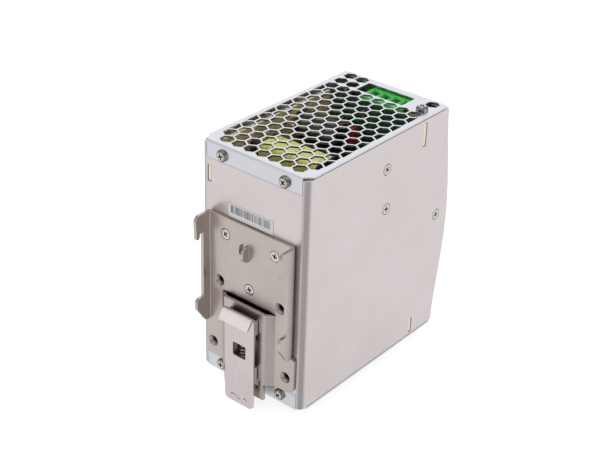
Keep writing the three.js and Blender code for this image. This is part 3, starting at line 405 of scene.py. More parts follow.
# Screws.
# Cross-recessed steel screws, cold-headed and nickel-plated: domed pan heads on the covers and
# flush countersunk heads in the side and the bracket. The recess is punched and tapered.
def bright_steel(name, color, roughness, lean_shade=0.0):
    """Bright plated steel with painted highlights on its edges; slope paints shade on the parts of
    a head that lean away.
    """
    made, tree, shader = principled(name, roughness, 1.0)
    turned = shared(tree, grain, Scale=2.5)
    edge = shared(tree, wear_and_highlight, Radius=0.00015)
    tone = remap(tree, turned, 0.35, 0.65, 0.0, 1.0)
    dark = tuple(0.8 * value for value in color)
    plate = blend_colors(tree, tone, dark, color)
    lean_shade_share = shared(tree, painted_tilt, Amount=lean_shade)
    plate = blend_colors(tree, lean_shade_share, plate, tuple(0.22 * value for value in color))
    wire(tree, blend_colors(tree, edge, plate, (0.95, 0.93, 0.9)), shader.inputs[0])
    rough = remap(tree, turned, 0.3, 0.7, roughness - 0.04, roughness + 0.08)
    wire(tree, rough, shader.inputs["Roughness"])
    return made


# The screw domes get painted shade where they lean away from the axes.
screw_steel = bright_steel("screw_steel", (0.62, 0.59, 0.56), 0.14, 0.9)
# The recess finish is near-black painted shade for the inside of the cross recess.
recess_painted_shade = bright_steel("recess_painted_shade", (0.07, 0.064, 0.06), 0.35)


def revolved(name, profile, segments=40):
    """A mesh turned about Z from profile points (radius, height) that start and end on it."""
    shape = bmesh.new()
    rings = []
    for radius, height in profile:
        if radius == 0:
            rings.append([shape.verts.new((0, 0, height))])
            continue
        ring = []
        for i in range(segments):
            angle = 2 * math.pi * i / segments
            x, y = radius * math.cos(angle), radius * math.sin(angle)
            ring.append(shape.verts.new((x, y, height)))
        rings.append(ring)
    for low, high in zip(rings, rings[1:]):
        for i in range(segments):
            j = (i + 1) % segments
            corners = [low[i % len(low)], low[j % len(low)]]
            corners += [high[j % len(high)], high[i % len(high)]]
            kept = list(dict.fromkeys(corners))
            if len(kept) > 2:
                shape.faces.new(kept)
    bmesh.ops.recalc_face_normals(shape, faces=shape.faces)
    mesh = mesh_from(shape, name)
    return mesh


def cross_punch(depth, top, length, width):
    """A tapered cross that is cut out of a screw's head."""
    shape = bmesh.new()
    for along, across in ((length, width), (width, length)):
        corners = []
        for share, z in ((1.12, top + 0.3), (1.0, top), (0.55, top - depth)):
            for sx, sy in ((-1, -1), (1, -1), (1, 1), (-1, 1)):
                thin = 1.0 if share > 0.9 else 0.75
                x = along / 2 * (share if along > across else thin)
                y = across / 2 * (thin if along > across else share)
                corners.append(shape.verts.new((sx * x, sy * y, z)))
        for level in (0, 4):
            for i in range(4):
                j = (i + 1) % 4
                quad = (level + i, level + j, level + 4 + j, level + 4 + i)
                shape.faces.new([corners[k] for k in quad])
        shape.faces.new(corners[0:4])
        shape.faces.new(corners[8:12])
    bmesh.ops.recalc_face_normals(shape, faces=shape.faces)
    mesh = mesh_from(shape, "punch")
    return mesh


recess_reach = 1.55  # from the axis to the end of an arm, in millimetres
recess_half = 0.43  # half the width of an arm
recess_lip = 0.07  # softened edge round the recess, which stays bright


def carved(name, mesh, punch, finish, floor, top):
    """The mesh with the punch cut out of it, its edges softened and its recess painted dark as
    shade.
    """
    blank = bpy.data.objects.new(name, mesh)
    tool = bpy.data.objects.new("punch", punch)
    for item in (blank, tool):
        scene.collection.objects.link(item)
    cutting = blank.modifiers.new("recess", "BOOLEAN")
    cutting.operation = "DIFFERENCE"
    cutting.solver = "EXACT"
    cutting.use_self = True
    cutting.object = tool
    softened = blank.modifiers.new("soft edges", "BEVEL")
    softened.width = 0.06
    softened.segments = 2
    softened.limit_method = "ANGLE"
    softened.angle_limit = math.radians(32)
    bpy.context.view_layer.update()
    evaluated = blank.evaluated_get(bpy.context.evaluated_depsgraph_get())
    done = bpy.data.meshes.new_from_object(evaluated)
    done.name = name
    for item in (blank, tool):
        bpy.data.objects.remove(item)
    done.transform(Matrix.Scale(0.001, 4))
    done.materials.clear()
    done.materials.append(finish)
    done.materials.append(recess_painted_shade)
    for polygon in done.polygons:
        x, y, z = (1000 * value for value in polygon.center)
        in_cross = max(abs(x), abs(y)) < recess_reach and min(abs(x), abs(y)) < recess_half
        polygon.material_index = 1 if in_cross and floor < z < top - recess_lip else 0
    done.shade_smooth()
    done.set_sharp_from_angle(angle=math.radians(32))
    return done


def pan_profile(radius, height, shank, length):
    rim = height * 0.34
    dome = [(radius, 0.06), (radius, rim)]
    for i in range(1, 9):
        angle = math.radians(90 * i / 8)
        rise = (height - rim) * math.sin(angle)
        dome.append((radius * (0.28 + 0.72 * math.cos(angle)), rim + rise))
    return [(0, -length), (shank, -length), (shank, 0), (radius - 0.06, 0), *dome, (0, height)]


pan_head = carved(
    "pan_head",
    revolved("pan_blank", pan_profile(2.98, 1.7, 1.45, 4.0)),
    cross_punch(1.25, 1.7, 2.9, 0.78),
    screw_steel, 0.3, 1.7,
)
tall_head = carved(
    "tall_head",
    revolved("tall_blank", pan_profile(2.98, 2.4, 1.45, 4.0)),
    cross_punch(1.6, 2.4, 2.9, 0.78),
    screw_steel, 0.6, 2.4,
)
flat_head = carved(
    "flat_head",
    revolved(
        "flat_blank",
        [(0, -4.5), (1.45, -4.5), (1.45, -1.35), (2.72, -0.08), (2.62, -0.02), (0, -0.02)],
    ),
    cross_punch(1.0, 0.0, 2.9, 0.72),
    screw_steel, -1.2, 0.0,
)
head_rise = {pan_head.name: 0.0017, tall_head.name: 0.0024, flat_head.name: 0.0}


def place_screw(node, mesh, direction, turn, body="root"):
    """Puts a screw where its CAD solid is; its head faces the direction."""
    low, high = box_of(node)
    axis = Vector(direction)
    middle = (low + high) / 2
    reach = (high - low) / 2
    head = middle + Vector([axis[i] * reach[i] for i in range(3)])
    head -= axis * head_rise[mesh.name]
    piece = bpy.data.objects.new(node + "_head", mesh)
    piece.rotation_mode = "QUATERNION"
    facing = axis.to_track_quat("Z", "Y").to_matrix()
    twist = Matrix.Rotation(math.radians(turn), 3, "Z")
    piece.rotation_quaternion = (facing @ twist).to_quaternion()
    piece.location = head
    scene.collection.objects.link(piece)
    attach(piece, body)
    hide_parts(node)
    return piece


cover_screws = {
    "top_cover_screw_left": (0, 1, 0), "top_cover_screw_right": (0, 1, 0),
    "bottom_cover_screw_left": (0, 1, 0), "bottom_cover_screw_right": (0, 1, 0),
    "top_cover_screw_front": (0, 0, 1), "bottom_cover_screw_front": (0, 0, -1),
}
flush_screws = {
    "side_screw_upper": (-1, 0, 0), "side_screw_lower": (-1, 0, 0), "side_screw_front": (-1, 0, 0),
    "bracket_screw_left": (0, 1, 0), "bracket_screw_right": (0, 1, 0),
    "bracket_screw_centre": (0, 1, 0),
}
for i, (node, direction) in enumerate(cover_screws.items()):
    blank = tall_head if node.endswith("front") else pan_head
    place_screw(node, blank, direction, (17 + 37 * i) % 90)
for i, (node, direction) in enumerate(flush_screws.items()):
    place_screw(node, flat_head, direction, (52 + 29 * i) % 90)


# Rail bracket.
# A pressed plate of thicker nickel-plated steel with two hooked flanges, a raised channel for
# the latch and a lanced tab. It is screwed flat to the back of the case.
# Its bends take painted shade at half strength through the tilt mask.
bracket_steel = plated_sheet(
    "bracket_steel", (0.40, 0.355, 0.335), (0.50, 0.448, 0.427), (0.85, 0.82, 0.79),
    0.31, (0.6, 2.0, 3.0), 0.6, 0.04, 0.5,
)
made_from("rail_bracket", "bracket_plate", "root", bracket_steel, 0.00022)


# Rail latch.
# A folded strip of lighter zinc-plated steel that slides down against its spring. A rounded
# window shows the spring, and the lip at its foot takes a screwdriver.
# Its ramp and other tilted faces get a painted highlight through the tilt mask.
latch_steel = plated_sheet(
    "latch_steel", (0.50, 0.45, 0.457), (0.585, 0.526, 0.533), (0.92, 0.92, 0.93),
    0.36, (2.0, 1.4, 0.5), 0.8, 0.04, 1.0, (0.72, 0.665, 0.675),
)
made_from("rail_latch", "latch_strip", "latch", latch_steel, 0.00015)


# Latch spring.
# A small compression spring of drawn wire, closed and ground at both ends, between the seat in
# the bracket and the lug of the latch. In use it shortens as the latch is pulled down; here it is
# one fixed coil.
def helix_mesh(name, centre, low, high, radius, wire_radius, turns, sides=10, steps=28):
    """A coil of wire about Z whose end turns are closed."""
    closed = 0.9  # turns that lie flat at each end
    pitch = 0.9  # rise of a closed turn, as a share of the wire
    shape = bmesh.new()
    count = int(turns * steps)
    rings = []
    span = high - low - 2 * wire_radius
    for i in range(count + 1):
        turn = i / steps
        share = (turn - closed) / (turns - 2 * closed)
        share = min(max(share, 0.0), 1.0)
        end = min(turn, closed) / closed + (max(turn - turns + closed, 0)) / closed
        rise = wire_radius * 2 * end * pitch
        body = (span - 4 * wire_radius * pitch) * share
        z = low + wire_radius + rise + body
        angle = 2 * math.pi * turn
        out = Vector((math.cos(angle), math.sin(angle), 0))
        middle = Vector((centre[0], centre[1], z)) + out * radius
        ring = []
        for k in range(sides):
            phase = 2 * math.pi * k / sides
            offset = out * (wire_radius * math.cos(phase))
            offset += Vector((0, 0, wire_radius * math.sin(phase)))
            ring.append(shape.verts.new(middle + offset))
        rings.append(ring)
    for first, second in zip(rings, rings[1:]):
        for k in range(sides):
            j = (k + 1) % sides
            shape.faces.new((first[k], first[j], second[j], second[k]))
    shape.faces.new(rings[0])
    shape.faces.new(rings[-1])
    bmesh.ops.recalc_face_normals(shape, faces=shape.faces)
    mesh = mesh_from(shape, name)
    mesh.shade_smooth()
    return mesh


spring_wire = bright_steel("spring_wire", (0.55, 0.54, 0.53), 0.22)
spring_low, spring_high = box_of("latch_spring")
spring_centre = (spring_low + spring_high) / 2
spring_mesh = helix_mesh(
    "spring_coil", spring_centre, spring_low.z, spring_high.z, 0.0019, 0.0003, 8.5
)
spring_mesh.materials.append(spring_wire)
spring = bpy.data.objects.new("spring_coil", spring_mesh)
scene.collection.objects.link(spring)
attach(spring, "root")
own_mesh(spring)
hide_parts("latch_spring")


# Code label.
# A white paper label on the back, above the bracket, printed with a generic pattern of bars.
label_paper, label_tree, label_shader = principled("white_label", 0.5)
label_split = split_axes(label_tree, "Object")
label_low, label_high = box_of("barcode_label")
label_x = remap(label_tree, label_split["X"], label_high.x, label_low.x, 0.0, 1.0)
label_z = remap(label_tree, label_split["Z"], label_low.z, label_high.z, 0.0, 1.0)
label_cells = put(label_tree, "TexWhiteNoise", noise_dimensions="1D")
label_run = math_node(label_tree, "MULTIPLY", label_x, 36.0)
label_step = math_node(label_tree, "FLOOR", label_run, 0.0)
wire(label_tree, label_step, label_cells.inputs["W"])
label_width = remap(label_tree, label_cells.outputs[0], 0.0, 1.0, 0.28, 0.82)
label_cell = math_node(label_tree, "FRACT", label_run, 0.0)
label_bar = math_node(label_tree, "LESS_THAN", label_cell, label_width)
label_field = inside(label_tree, label_x, label_z, 0.05, 0.95, 0.34, 0.92)
label_ink = math_node(label_tree, "MULTIPLY", label_bar, label_field)
label_fibre = shared(label_tree, grain, Scale=3.0)
label_white = blend_colors(
    label_tree, label_fibre, (0.60, 0.58, 0.595), (0.68, 0.665, 0.675)
)
wire(
    label_tree,
    blend_colors(label_tree, label_ink, label_white, (0.055, 0.06, 0.085)),
    label_shader.inputs["Base Color"],
)
made_from("barcode_label", "code_label", "root", label_paper, 0.00004)


# Front panel.
# A curved nickel-plated panel between the sides, with holes over the terminals' clamp screws,
# and a printed film stuck on it: a plain field with generic bands and ruled lines.
made_from("front_panel", "front_plate", "root", nickel, 0.00012)
front_film, film_tree, film_shader = principled("front_print", 0.42)
film_split = split_axes(film_tree, "Object")
film_low, film_high = box_of("front_label")
film_z = remap(film_tree, film_split["Z"], film_low.z, film_high.z, 0.0, 1.0)
film_x = remap(film_tree, film_split["X"], film_high.x, film_low.x, 0.0, 1.0)
film_fibre = shared(film_tree, grain, Scale=2.2)
film_color = blend_colors(film_tree, film_fibre, (0.60, 0.61, 0.62), (0.68, 0.69, 0.70))
rule_ink = (0.1, 0.1, 0.11)
for x0, x1, z0, z1, color in (
    (-0.1, 1.1, 0.86, 1.1, (0.045, 0.09, 0.17)),
    (0.06, 0.94, 0.60, 0.605, rule_ink),
    (0.06, 0.94, 0.40, 0.405, rule_ink),
    (0.06, 0.94, 0.20, 0.205, rule_ink),
    (0.06, 0.065, 0.20, 0.60, rule_ink),
    (0.50, 0.505, 0.20, 0.60, rule_ink),
    (0.935, 0.94, 0.20, 0.605, rule_ink),
    (0.06, 0.94, 0.08, 0.13, (0.62, 0.16, 0.03)),
):
    band = inside(film_tree, film_x, film_z, x0, x1, z0, z1)
    film_color = blend_colors(film_tree, band, film_color, color)
wire(film_tree, film_color, film_shader.inputs["Base Color"])
made_from("front_label", "front_film", "root", front_film, 0.00005)


# Boards.
# The main board is bare tan laminate standing along the left side, the front board is green and
# carries the terminals. Both are routed, drilled and held by tabs in the shell's slits.
def laminate(name, axis, low, high, track, roughness):
    """Woven laminate whose faces look along an axis; its cut edges are bare and cream."""
    made, tree, shader = principled(name, roughness)
    weave = shared(tree, grain, Stretch=(3.0, 3.0, 0.6), Scale=1.2)
    cloth = blend_colors(tree, weave, low, high)
    place = put(tree, "TexCoord")
    mm = put(tree, "VectorMath", operation="SCALE")
    mm.inputs["Scale"].default_value = 1000.0
    wire(tree, place.outputs["Object"], mm.inputs[0])
    lanes = put(tree, "TexVoronoi", feature="DISTANCE_TO_EDGE")
    lanes.inputs["Scale"].default_value = 0.16
    lanes.inputs["Randomness"].default_value = 0.75
    wire(tree, mm.outputs[0], lanes.inputs["Vector"])
    line = remap(tree, lanes.outputs["Distance"], 0.05, 0.035, 0.0, 1.0)
    tracked = blend_colors(tree, line, cloth, track)
    along = math_node(tree, "ABSOLUTE", split_axes(tree, "Normal")[axis], 0.0)
    rim = math_node(tree, "LESS_THAN", along, 0.5)
    edged = blend_colors(tree, rim, tracked, (0.78, 0.72, 0.54))
    wire(tree, edged, shader.inputs["Base Color"])
    emboss(tree, shader, line, 0.25)
    return made


tan_board = laminate(
    "board_tan", "X", (0.58, 0.46, 0.24), (0.72, 0.59, 0.35), (0.46, 0.33, 0.15), 0.55
)
green_board = laminate(
    "board_green", "Y", (0.012, 0.07, 0.025), (0.02, 0.11, 0.04), (0.035, 0.16, 0.065), 0.35
)
made_from("main_board", "main_board_laminate", "root", tan_board, 0.00008)
made_from("front_board", "front_board_laminate", "root", green_board, 0.00008)

film_clear = two_tone(
    "insulation_film", (0.62, 0.60, 0.52), (0.78, 0.76, 0.68), 0.1, 0.3
)
made_from("insulation_sheet", "insulation_film", "root", film_clear, 0.00003)


def moulded(name, low, high, roughness, scale=1.4, bump=0.08, **fixed):
    """A moulded, ground or dipped surface: two close tones and a fine even texture."""
    made, tree, shader = principled(name, roughness, **fixed)
    skin = shared(tree, grain, Scale=scale)
    wire(tree, blend_colors(tree, skin, low, high), shader.inputs["Base Color"])
    rough = remap(tree, skin, 0.3, 0.7, roughness - 0.06, roughness + 0.06)
    wire(tree, rough, shader.inputs["Roughness"])
    emboss(tree, shader, skin, bump)
    return made


# Small parts on the boards.
# Surface-mounted resistors, capacitors and chips on the green board's rear face, and upright
# parts on the tan one, all as plain rounded blocks that keep clear of the larger pieces.
def blocks_mesh(name, blocks, round_by=0.00012):
    """One mesh of many boxes, each (low, high, material index), with their edges rounded."""
    shape = bmesh.new()
    for low, high, index in blocks:
        made = bmesh.ops.create_cube(shape, size=1.0)["verts"]
        size = Vector(high) - Vector(low)
        middle = (Vector(high) + Vector(low)) / 2
        for v in made:
            v.co = Vector([v.co[i] * size[i] + middle[i] for i in range(3)])
        for face in {f for v in made for f in v.link_faces}:
            face.material_index = index
    bmesh.ops.bevel(
        shape, geom=list(shape.edges), offset=round_by, segments=2, affect="EDGES", profile=0.5
    )
    mesh = mesh_from(shape, name)
    mesh.shade_smooth()
    mesh.set_sharp_from_angle(angle=math.radians(50))
    return mesh


def add_piece(name, mesh, slot, *finishes):
    for finish in finishes:
        mesh.materials.append(finish)
    piece = bpy.data.objects.new(name, mesh)
    scene.collection.objects.link(piece)
    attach(piece, "root")
    return piece


chip_black = moulded("chip_black", (0.012, 0.012, 0.013), (0.03, 0.03, 0.032), 0.45)
chip_ceramic = moulded("chip_ceramic", (0.50, 0.42, 0.30), (0.62, 0.54, 0.40), 0.5)
solder = bright_steel("solder", (0.66, 0.66, 0.66), 0.28)
chip_kinds = (  # half width, half height and thickness, in millimetres
    (1.0, 0.6, 0.6), (0.8, 1.6, 0.8), (2.4, 2.0, 1.5), (0.6, 1.0, 0.5), (1.5, 1.2, 1.1),
)
face_y = box_of("front_board")[1].y + 0.00002
chips = []


def scatter(i, rate, size):
    """A fixed share between zero and one for part number i."""
    value = math.sin(i * rate) * size
    return value - math.floor(value)


for i in range(46):
    x = 0.026 - scatter(i, 12.9898, 43758.5453) * 0.050
    z = -0.050 + scatter(i, 78.233, 12543.123) * 0.106
    kind = i % 5
    half_x, half_z, tall = chip_kinds[kind]
    mine = 0 if kind in (0, 2) else 1
    low = (x - half_x / 1000, face_y, z - half_z / 1000)
    high = (x + half_x / 1000, face_y + tall / 1000, z + half_z / 1000)
    if kind == 2:
        for side in (-1, 1):
            for k in range(4):
                leg = z - 0.0015 + k * 0.001
                chips.append((
                    (x + side * 0.0024 - 0.0007, face_y, leg - 0.0002),
                    (x + side * 0.0024 + 0.0007, face_y + 0.0003, leg + 0.0002), 2,
                ))
    else:
        for side in (-1, 1):
            end = z + side * half_z / 1000
            cap_low = (low[0], face_y, end - 0.0003)
            cap_high = (high[0], face_y + 0.0004, end + 0.0003)
            chips.append((cap_low, cap_high, 2))
    chips.append((low, high, mine))
chip_neighbours = [
    box_of(node)
    for node in ("film_capacitor", "output_heatsink", "output_rectifier_2", "output_capacitor_3",
                 "input_fuse", "inrush_thermistor", "main_board")
]


def is_clear(low, high, others):
    """Whether a block stays 0.3 mm away from all the other boxes."""
    for other_low, other_high in others:
        if all(low[i] < other_high[i] + 3e-4 and high[i] > other_low[i] - 3e-4 for i in range(3)):
            return False
    return True


chips = [chip for chip in chips if is_clear(chip[0], chip[1], chip_neighbours)]
add_piece(
    "front_board_chips", blocks_mesh("chips", chips, 0.00008), "board_green",
    chip_black, chip_ceramic, solder,
)

main_low, main_high = box_of("main_board")
standing_nodes = [
    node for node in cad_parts
    if node not in ("main_board", "case_shell", "top_cover", "bottom_cover", "insulation_sheet")
]
standing_boxes = [box_of(node) for node in standing_nodes]
upright_kinds = (  # height, half depth and half width in millimetres, and the finish
    (7.5, 1.6, 3.4, 1), (4.0, 2.6, 2.0, 3), (2.0, 0.9, 1.8, 0), (9.0, 2.2, 3.0, 3),
    (5.5, 1.3, 1.3, 2), (3.0, 1.4, 2.6, 1),
)
upright = []
for i in range(150):
    across, up = scatter(i, 45.164, 24634.6345), scatter(i, 94.673, 15731.743)
    y = main_low.y + 0.004 + across * (main_high.y - main_low.y - 0.010)
    z = main_low.z + 0.005 + up * (main_high.z - main_low.z - 0.009)
    tall, half_y, half_z, finish = upright_kinds[i % 6]
    low = (main_low.x - tall / 1000, y - half_y / 1000, z - half_z / 1000)
    high = (main_low.x - 0.00002, y + half_y / 1000, z + half_z / 1000)
    placed = [tuple(Vector(v) for v in block[:2]) for block in upright]
    if is_clear(low, high, standing_boxes + placed):
        upright.append((low, high, finish))
chip_yellow = moulded("chip_yellow", (0.55, 0.46, 0.12), (0.70, 0.61, 0.22), 0.4)
add_piece(
    "main_board_parts", blocks_mesh("uprights", upright, 0.0003), "board_tan",
    chip_black, chip_ceramic, solder, chip_yellow,
)


# Transformer.
# A ground ferrite core in two halves round a coil on a moulded bobbin. The coil is wrapped in
# yellow polyester tape, whose turns overlap.
ferrite = moulded("ferrite", (0.022, 0.02, 0.022), (0.05, 0.047, 0.048), 0.5, 2.0, 0.2)
black_moulding = moulded("black_plastic", (0.012, 0.012, 0.012), (0.03, 0.03, 0.03), 0.45)
made_from("transformer_core", "core_halves", "root", ferrite, 0.0004)
made_from("transformer_bobbin", "bobbin", "root", black_moulding, 0.0002)

yellow_tape, tape_tree, tape_shader = principled("yellow_tape", 0.32, coat_weight=0.4)
tape_split = split_axes(tape_tree, "Object")
tape_lap = math_node(tape_tree, "MULTIPLY", tape_split["X"], 72.0)
tape_cell = math_node(tape_tree, "FRACT", tape_lap, 0.0)
tape_edge = remap(tape_tree, tape_cell, 0.0, 0.06, 1.0, 0.0)
tape_cloud = shared(tape_tree, grain, Scale=0.35)
tape_base = blend_colors(tape_tree, tape_cloud, (0.66, 0.66, 0.12), (0.84, 0.84, 0.27))
wire(
    tape_tree, blend_colors(tape_tree, tape_edge, tape_base, (0.42, 0.38, 0.05)),
    tape_shader.inputs["Base Color"],
)
tape_height = math_node(tape_tree, "ADD", tape_cell, tape_cloud)
emboss(tape_tree, tape_shader, tape_height, 0.4, 0.0003)
made_from("transformer_winding", "taped_coil", "root", yellow_tape, 0.0005, 3)


# Chokes.
# Enamelled copper wire wound in close turns on ferrite: a drum core for the boost choke, and a
# square frame with a coil on each leg for the mains filter.
copper = two_tone(
    "copper_wire", (0.45, 0.15, 0.05), (0.72, 0.33, 0.14), 0.9, 0.28, 1.0, coat_weight=0.5
)
made_from("boost_choke_core", "drum_core", "root", ferrite, 0.0003)
made_from("filter_choke_core", "frame_core", "root", ferrite, 0.0003)

drum_low, drum_high = box_of("boost_choke_winding")
drum_middle = (drum_low + drum_high) / 2
drum_outer = (drum_high.z - drum_low.z) / 2
drum_turns = 16
drum_wire = (drum_high.x - drum_low.x) / drum_turns / 2
drum_profile = [(drum_outer - 0.0055, 0.0)]
for turn in range(drum_turns):
    for k in range(7):
        phase = math.pi * k / 6
        height = (2 * turn + 1 - math.cos(phase)) * drum_wire
        drum_profile.append((drum_outer - drum_wire + drum_wire * math.sin(phase), height))
drum_profile.append((drum_outer - 0.0055, 2 * drum_turns * drum_wire))
drum_profile.append(drum_profile[0])
drum_mesh = revolved("drum_turns", drum_profile, 48)
drum_mesh.transform(Matrix.Rotation(math.radians(90), 4, "Y"))
drum_mesh.transform(Matrix.Translation((drum_low.x, drum_middle.y, drum_middle.z)))
drum_mesh.shade_smooth()
drum_coil = add_piece("drum_coil", drum_mesh, "copper_wire", copper)
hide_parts("boost_choke_winding")


def frame_coil(node, name):
    """Close turns of wire round one leg of the frame core, each a rounded square ring."""
    low, high = box_of(node)
    turns = 11
    corner = 0.0022
    radius = (high.z - low.z) / turns / 2
    inset = Vector((radius, radius))
    near, far = low.to_2d() + inset, high.to_2d() - inset
    shape = bmesh.new()
    for turn in range(turns):
        z = low.z + radius * (2 * turn + 1)
        path = []
        for cx, cy, start in (
            (far.x - corner, far.y - corner, 0), (near.x + corner, far.y - corner, 90),
            (near.x + corner, near.y + corner, 180), (far.x - corner, near.y + corner, 270),
        ):
            for k in range(5):
                angle = math.radians(start + 22.5 * k)
                out = Vector((math.cos(angle), math.sin(angle), 0))
                path.append((Vector((cx, cy, z)) + out * corner, out))
        rings = []
        for point, out in path:
            ring = []
            for k in range(8):
                phase = 2 * math.pi * k / 8
                offset = out * (radius * math.cos(phase))
                offset += Vector((0, 0, radius * math.sin(phase)))
                ring.append(shape.verts.new(point + offset))
            rings.append(ring)
        for i, ring in enumerate(rings):
            after = rings[(i + 1) % len(rings)]
            for k in range(8):
                j = (k + 1) % 8
                shape.faces.new((ring[k], ring[j], after[j], after[k]))
    bmesh.ops.recalc_face_normals(shape, faces=shape.faces)
    mesh = mesh_from(shape, name)
    mesh.shade_smooth()
    coil = add_piece(name, mesh, "copper_wire", copper)
    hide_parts(node)


frame_coil("filter_choke_winding_1", "frame_coil_rear")
frame_coil("filter_choke_winding_2", "frame_coil_front")


# Capacitors.
# Aluminium cans in a shrunk black sleeve with a bare scored top, a yellow boxed film capacitor
# and a dipped red one on its two leads.
sleeve = two_tone(
    "capacitor_sleeve", (0.005, 0.006, 0.009), (0.012, 0.014, 0.019), 0.6, 0.5
)
# The bare aluminium tops and the sleeve stripe are darkened as painted shade for the dark inside of
# the case.
can_aluminium_painted_shade = bright_steel("can_aluminium_painted_shade", (0.16, 0.165, 0.18), 0.35)
stripe_painted_shade = moulded("sleeve_stripe_painted_shade", (0.06, 0.063, 0.07), (0.09, 0.093, 0.10), 0.5)


def can_capacitor(node, name):
    """A sleeved can lying along X, with a rolled groove at its foot and a bare top."""
    low, high = box_of(node)
    middle = (low + high) / 2
    radius = (high.z - low.z) / 2
    height = high.x - low.x
    lip = radius * 0.86
    profile = [(0, 0), (radius * 0.9, 0), (radius * 0.96, 0.0004)]
    profile += [(radius, 0.0011), (radius, 0.0021)]
    for k in range(7):
        angle = math.pi * k / 6
        profile.append((radius - 0.0007 * math.sin(angle), 0.0022 + 0.0012 * k / 6))
    profile += [
        (radius, 0.0036), (radius, height - 0.0011), (radius * 0.985, height - 0.0005),
        (radius * 0.95, height - 0.0001), (lip, height), (lip - 0.0001, height - 0.0003),
        (0, height - 0.0003),
    ]
    mesh = revolved(name, profile, 48)
    for polygon in mesh.polygons:
        flat = polygon.center.xy.length
        if flat < lip and polygon.center.z > height / 2:
            polygon.material_index = 1
        elif polygon.center.y > radius * 0.85:
            polygon.material_index = 2
    mesh.transform(Matrix.Rotation(math.radians(-90), 4, "Y"))
    mesh.transform(Matrix.Translation((high.x, middle.y, middle.z)))
    mesh.shade_smooth()
    mesh.set_sharp_from_angle(angle=math.radians(50))
    can = add_piece(name, mesh, "capacitor_sleeve", sleeve, can_aluminium_painted_shade, stripe_painted_shade)
    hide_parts(node)


for node in ("bulk_capacitor_1", "bulk_capacitor_2", "output_capacitor_1", "output_capacitor_2",
             "output_capacitor_3"):
    can_capacitor(node, node + "_can")

yellow_case = moulded("filter_capacitor_case", (0.62, 0.48, 0.05), (0.76, 0.62, 0.1), 0.4)
red_epoxy = moulded(
    "red_epoxy", (0.33, 0.012, 0.008), (0.5, 0.03, 0.02), 0.22, 0.8, 0.1, coat_weight=0.5
)
made_from(
    "filter_capacitor", "boxed_capacitor", "root", yellow_case, 0.0008, 3
)
made_from("film_capacitor", "dipped_capacitor", "root", red_epoxy, 0.0009, 4)


# Fuse and thermistor.
# A ceramic tube fuse with pressed metal end caps, and a dipped disc that limits the inrush.
fuse_ceramic = moulded("fuse_ceramic", (0.72, 0.69, 0.6), (0.84, 0.81, 0.72), 0.35)
fuse_low, fuse_high = box_of("input_fuse")
fuse_radius = (fuse_high.y - fuse_low.y) / 2
fuse_length = fuse_high.z - fuse_low.z
fuse_tube_radius = fuse_radius - 0.0003
cap_end, tube_start = 0.0055, 0.0056
fuse_profile = [
    (0, 0), (fuse_tube_radius, 0), (fuse_radius, 0.0003), (fuse_radius, cap_end),
    (fuse_tube_radius, tube_start), (fuse_tube_radius, fuse_length - tube_start),
    (fuse_radius, fuse_length - cap_end), (fuse_radius, fuse_length - 0.0003),
    (fuse_tube_radius, fuse_length), (0, fuse_length),
]
fuse_mesh = revolved("fuse_tube", fuse_profile, 40)
for polygon in fuse_mesh.polygons:
    if tube_start < polygon.center.z < fuse_length - tube_start:
        polygon.material_index = 1
fuse_middle = (fuse_low + fuse_high) / 2
fuse_mesh.transform(Matrix.Translation((fuse_middle.x, fuse_middle.y, fuse_low.z)))
fuse_mesh.shade_smooth()
fuse_mesh.set_sharp_from_angle(angle=math.radians(50))
fuse_piece = add_piece("fuse_tube", fuse_mesh, "fuse_ceramic", solder, fuse_ceramic)
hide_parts("input_fuse")
disc_dip = moulded("thermistor_epoxy", (0.02, 0.04, 0.03), (0.045, 0.075, 0.06), 0.5)
made_from("inrush_thermistor", "inrush_disc", "root", disc_dip, 0.0008, 3)


# Heat sinks and power semiconductors.
# Black anodised aluminium plates, one across the unit under the transformer and one screwed to
# the side of the case, with moulded power packages clamped against them.
anodised, anodised_tree, anodised_shader = principled("black_aluminium", 0.42, 0.9)
anodised_grain = shared(anodised_tree, grain, Stretch=(0.2, 0.05, 2.0), Scale=1.0)
# Its edges take the shared edge mask in grey: partly wear, partly a painted highlight.
anodised_edge = shared(anodised_tree, wear_and_highlight)
anodised_skin = blend_colors(
    anodised_tree, anodised_grain, (0.015, 0.015, 0.017), (0.04, 0.04, 0.044)
)
wire(
    anodised_tree,
    blend_colors(anodised_tree, anodised_edge, anodised_skin, (0.22, 0.22, 0.23)),
    anodised_shader.inputs["Base Color"],
)
made_from("primary_heatsink", "cross_sink", "root", anodised, 0.0003)
made_from("output_heatsink", "side_sink", "root", anodised, 0.0003)
for node in ("switch_transistor_1", "switch_transistor_2", "bridge_rectifier",
             "output_rectifier_1", "output_rectifier_2"):
    made_from(node, node + "_package", "root", black_moulding, 0.0004)


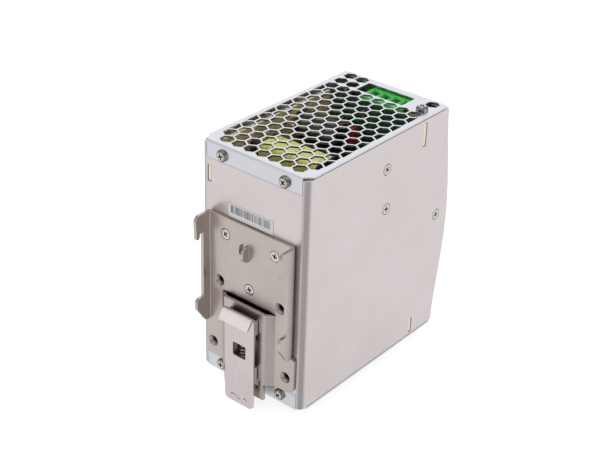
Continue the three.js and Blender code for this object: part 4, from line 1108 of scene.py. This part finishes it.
# Terminal blocks.
# Green polyamide blocks soldered to the front board: a funnelled wire entry for each pole at
# the cover's window with a strip of its clamp cage in it, and a slotted screw at the front.
terminal_green = moulded("terminal_green", (0.05, 0.50, 0.075), (0.10, 0.66, 0.14), 0.34, 1.0, 0.06)
made_from(
    "output_terminal_block", "output_block", "root", terminal_green, 0.00025
)
made_from("input_terminal_block", "input_block", "root", terminal_green, 0.00025)

clamp_steel = bright_steel("clamp_steel", (0.68, 0.67, 0.62), 0.25)
clamps = [f"output_clamp_{i}" for i in range(1, 5)] + [f"input_clamp_{i}" for i in range(1, 4)]
for body in clamps:
    node = body.replace("clamp", "clamp_screw")
    made_from(node, node + "_slotted", body, clamp_steel, 0.00015)

cage_front, cage_rear = -0.1078, -0.1073
cage_half = 0.0019
for kind, sign in (("output", 1), ("input", -1)):
    block_low, block_high = box_of(kind + "_terminal_block")
    mouth = block_high.z if sign > 0 else block_low.z
    cages = []
    for body in clamps:
        if not body.startswith(kind):
            continue
        screw_low, screw_high = box_of(body.replace("clamp", "clamp_screw"))
        middle = (screw_low.x + screw_high.x) / 2
        bottom, top = sorted((mouth - sign * 0.0009, mouth - sign * 0.0065))
        cage_low = (middle - cage_half, cage_front, bottom)
        cage_high = (middle + cage_half, cage_rear, top)
        cages.append((cage_low, cage_high, 0))
    add_piece(kind + "_cages", blocks_mesh(kind + "_cages", cages), "clamp_steel", clamp_steel)


# Trimmer and status light.
# A blue trimmer with a white slotted shaft sets the output voltage; a green acrylic rod carries
# the light of the board's lamp to the panel.
trimmer_blue = moulded("trimmer_blue", (0.02, 0.08, 0.28), (0.04, 0.13, 0.38), 0.4)
trimmer_white = moulded("trimmer_white", (0.70, 0.69, 0.65), (0.82, 0.81, 0.77), 0.42)
made_from("voltage_trimmer_body", "trimmer_case", "root", trimmer_blue, 0.0003)
made_from(
    "voltage_trimmer_knob", "trimmer_shaft", "trimmer", trimmer_white, 0.0002
)
green_rod = moulded("light_pipe", (0.20, 0.62, 0.20), (0.30, 0.74, 0.28), 0.12, 0.3, 0.02)
made_from("status_light_pipe", "light_rod", "root", green_rod, 0.0001)
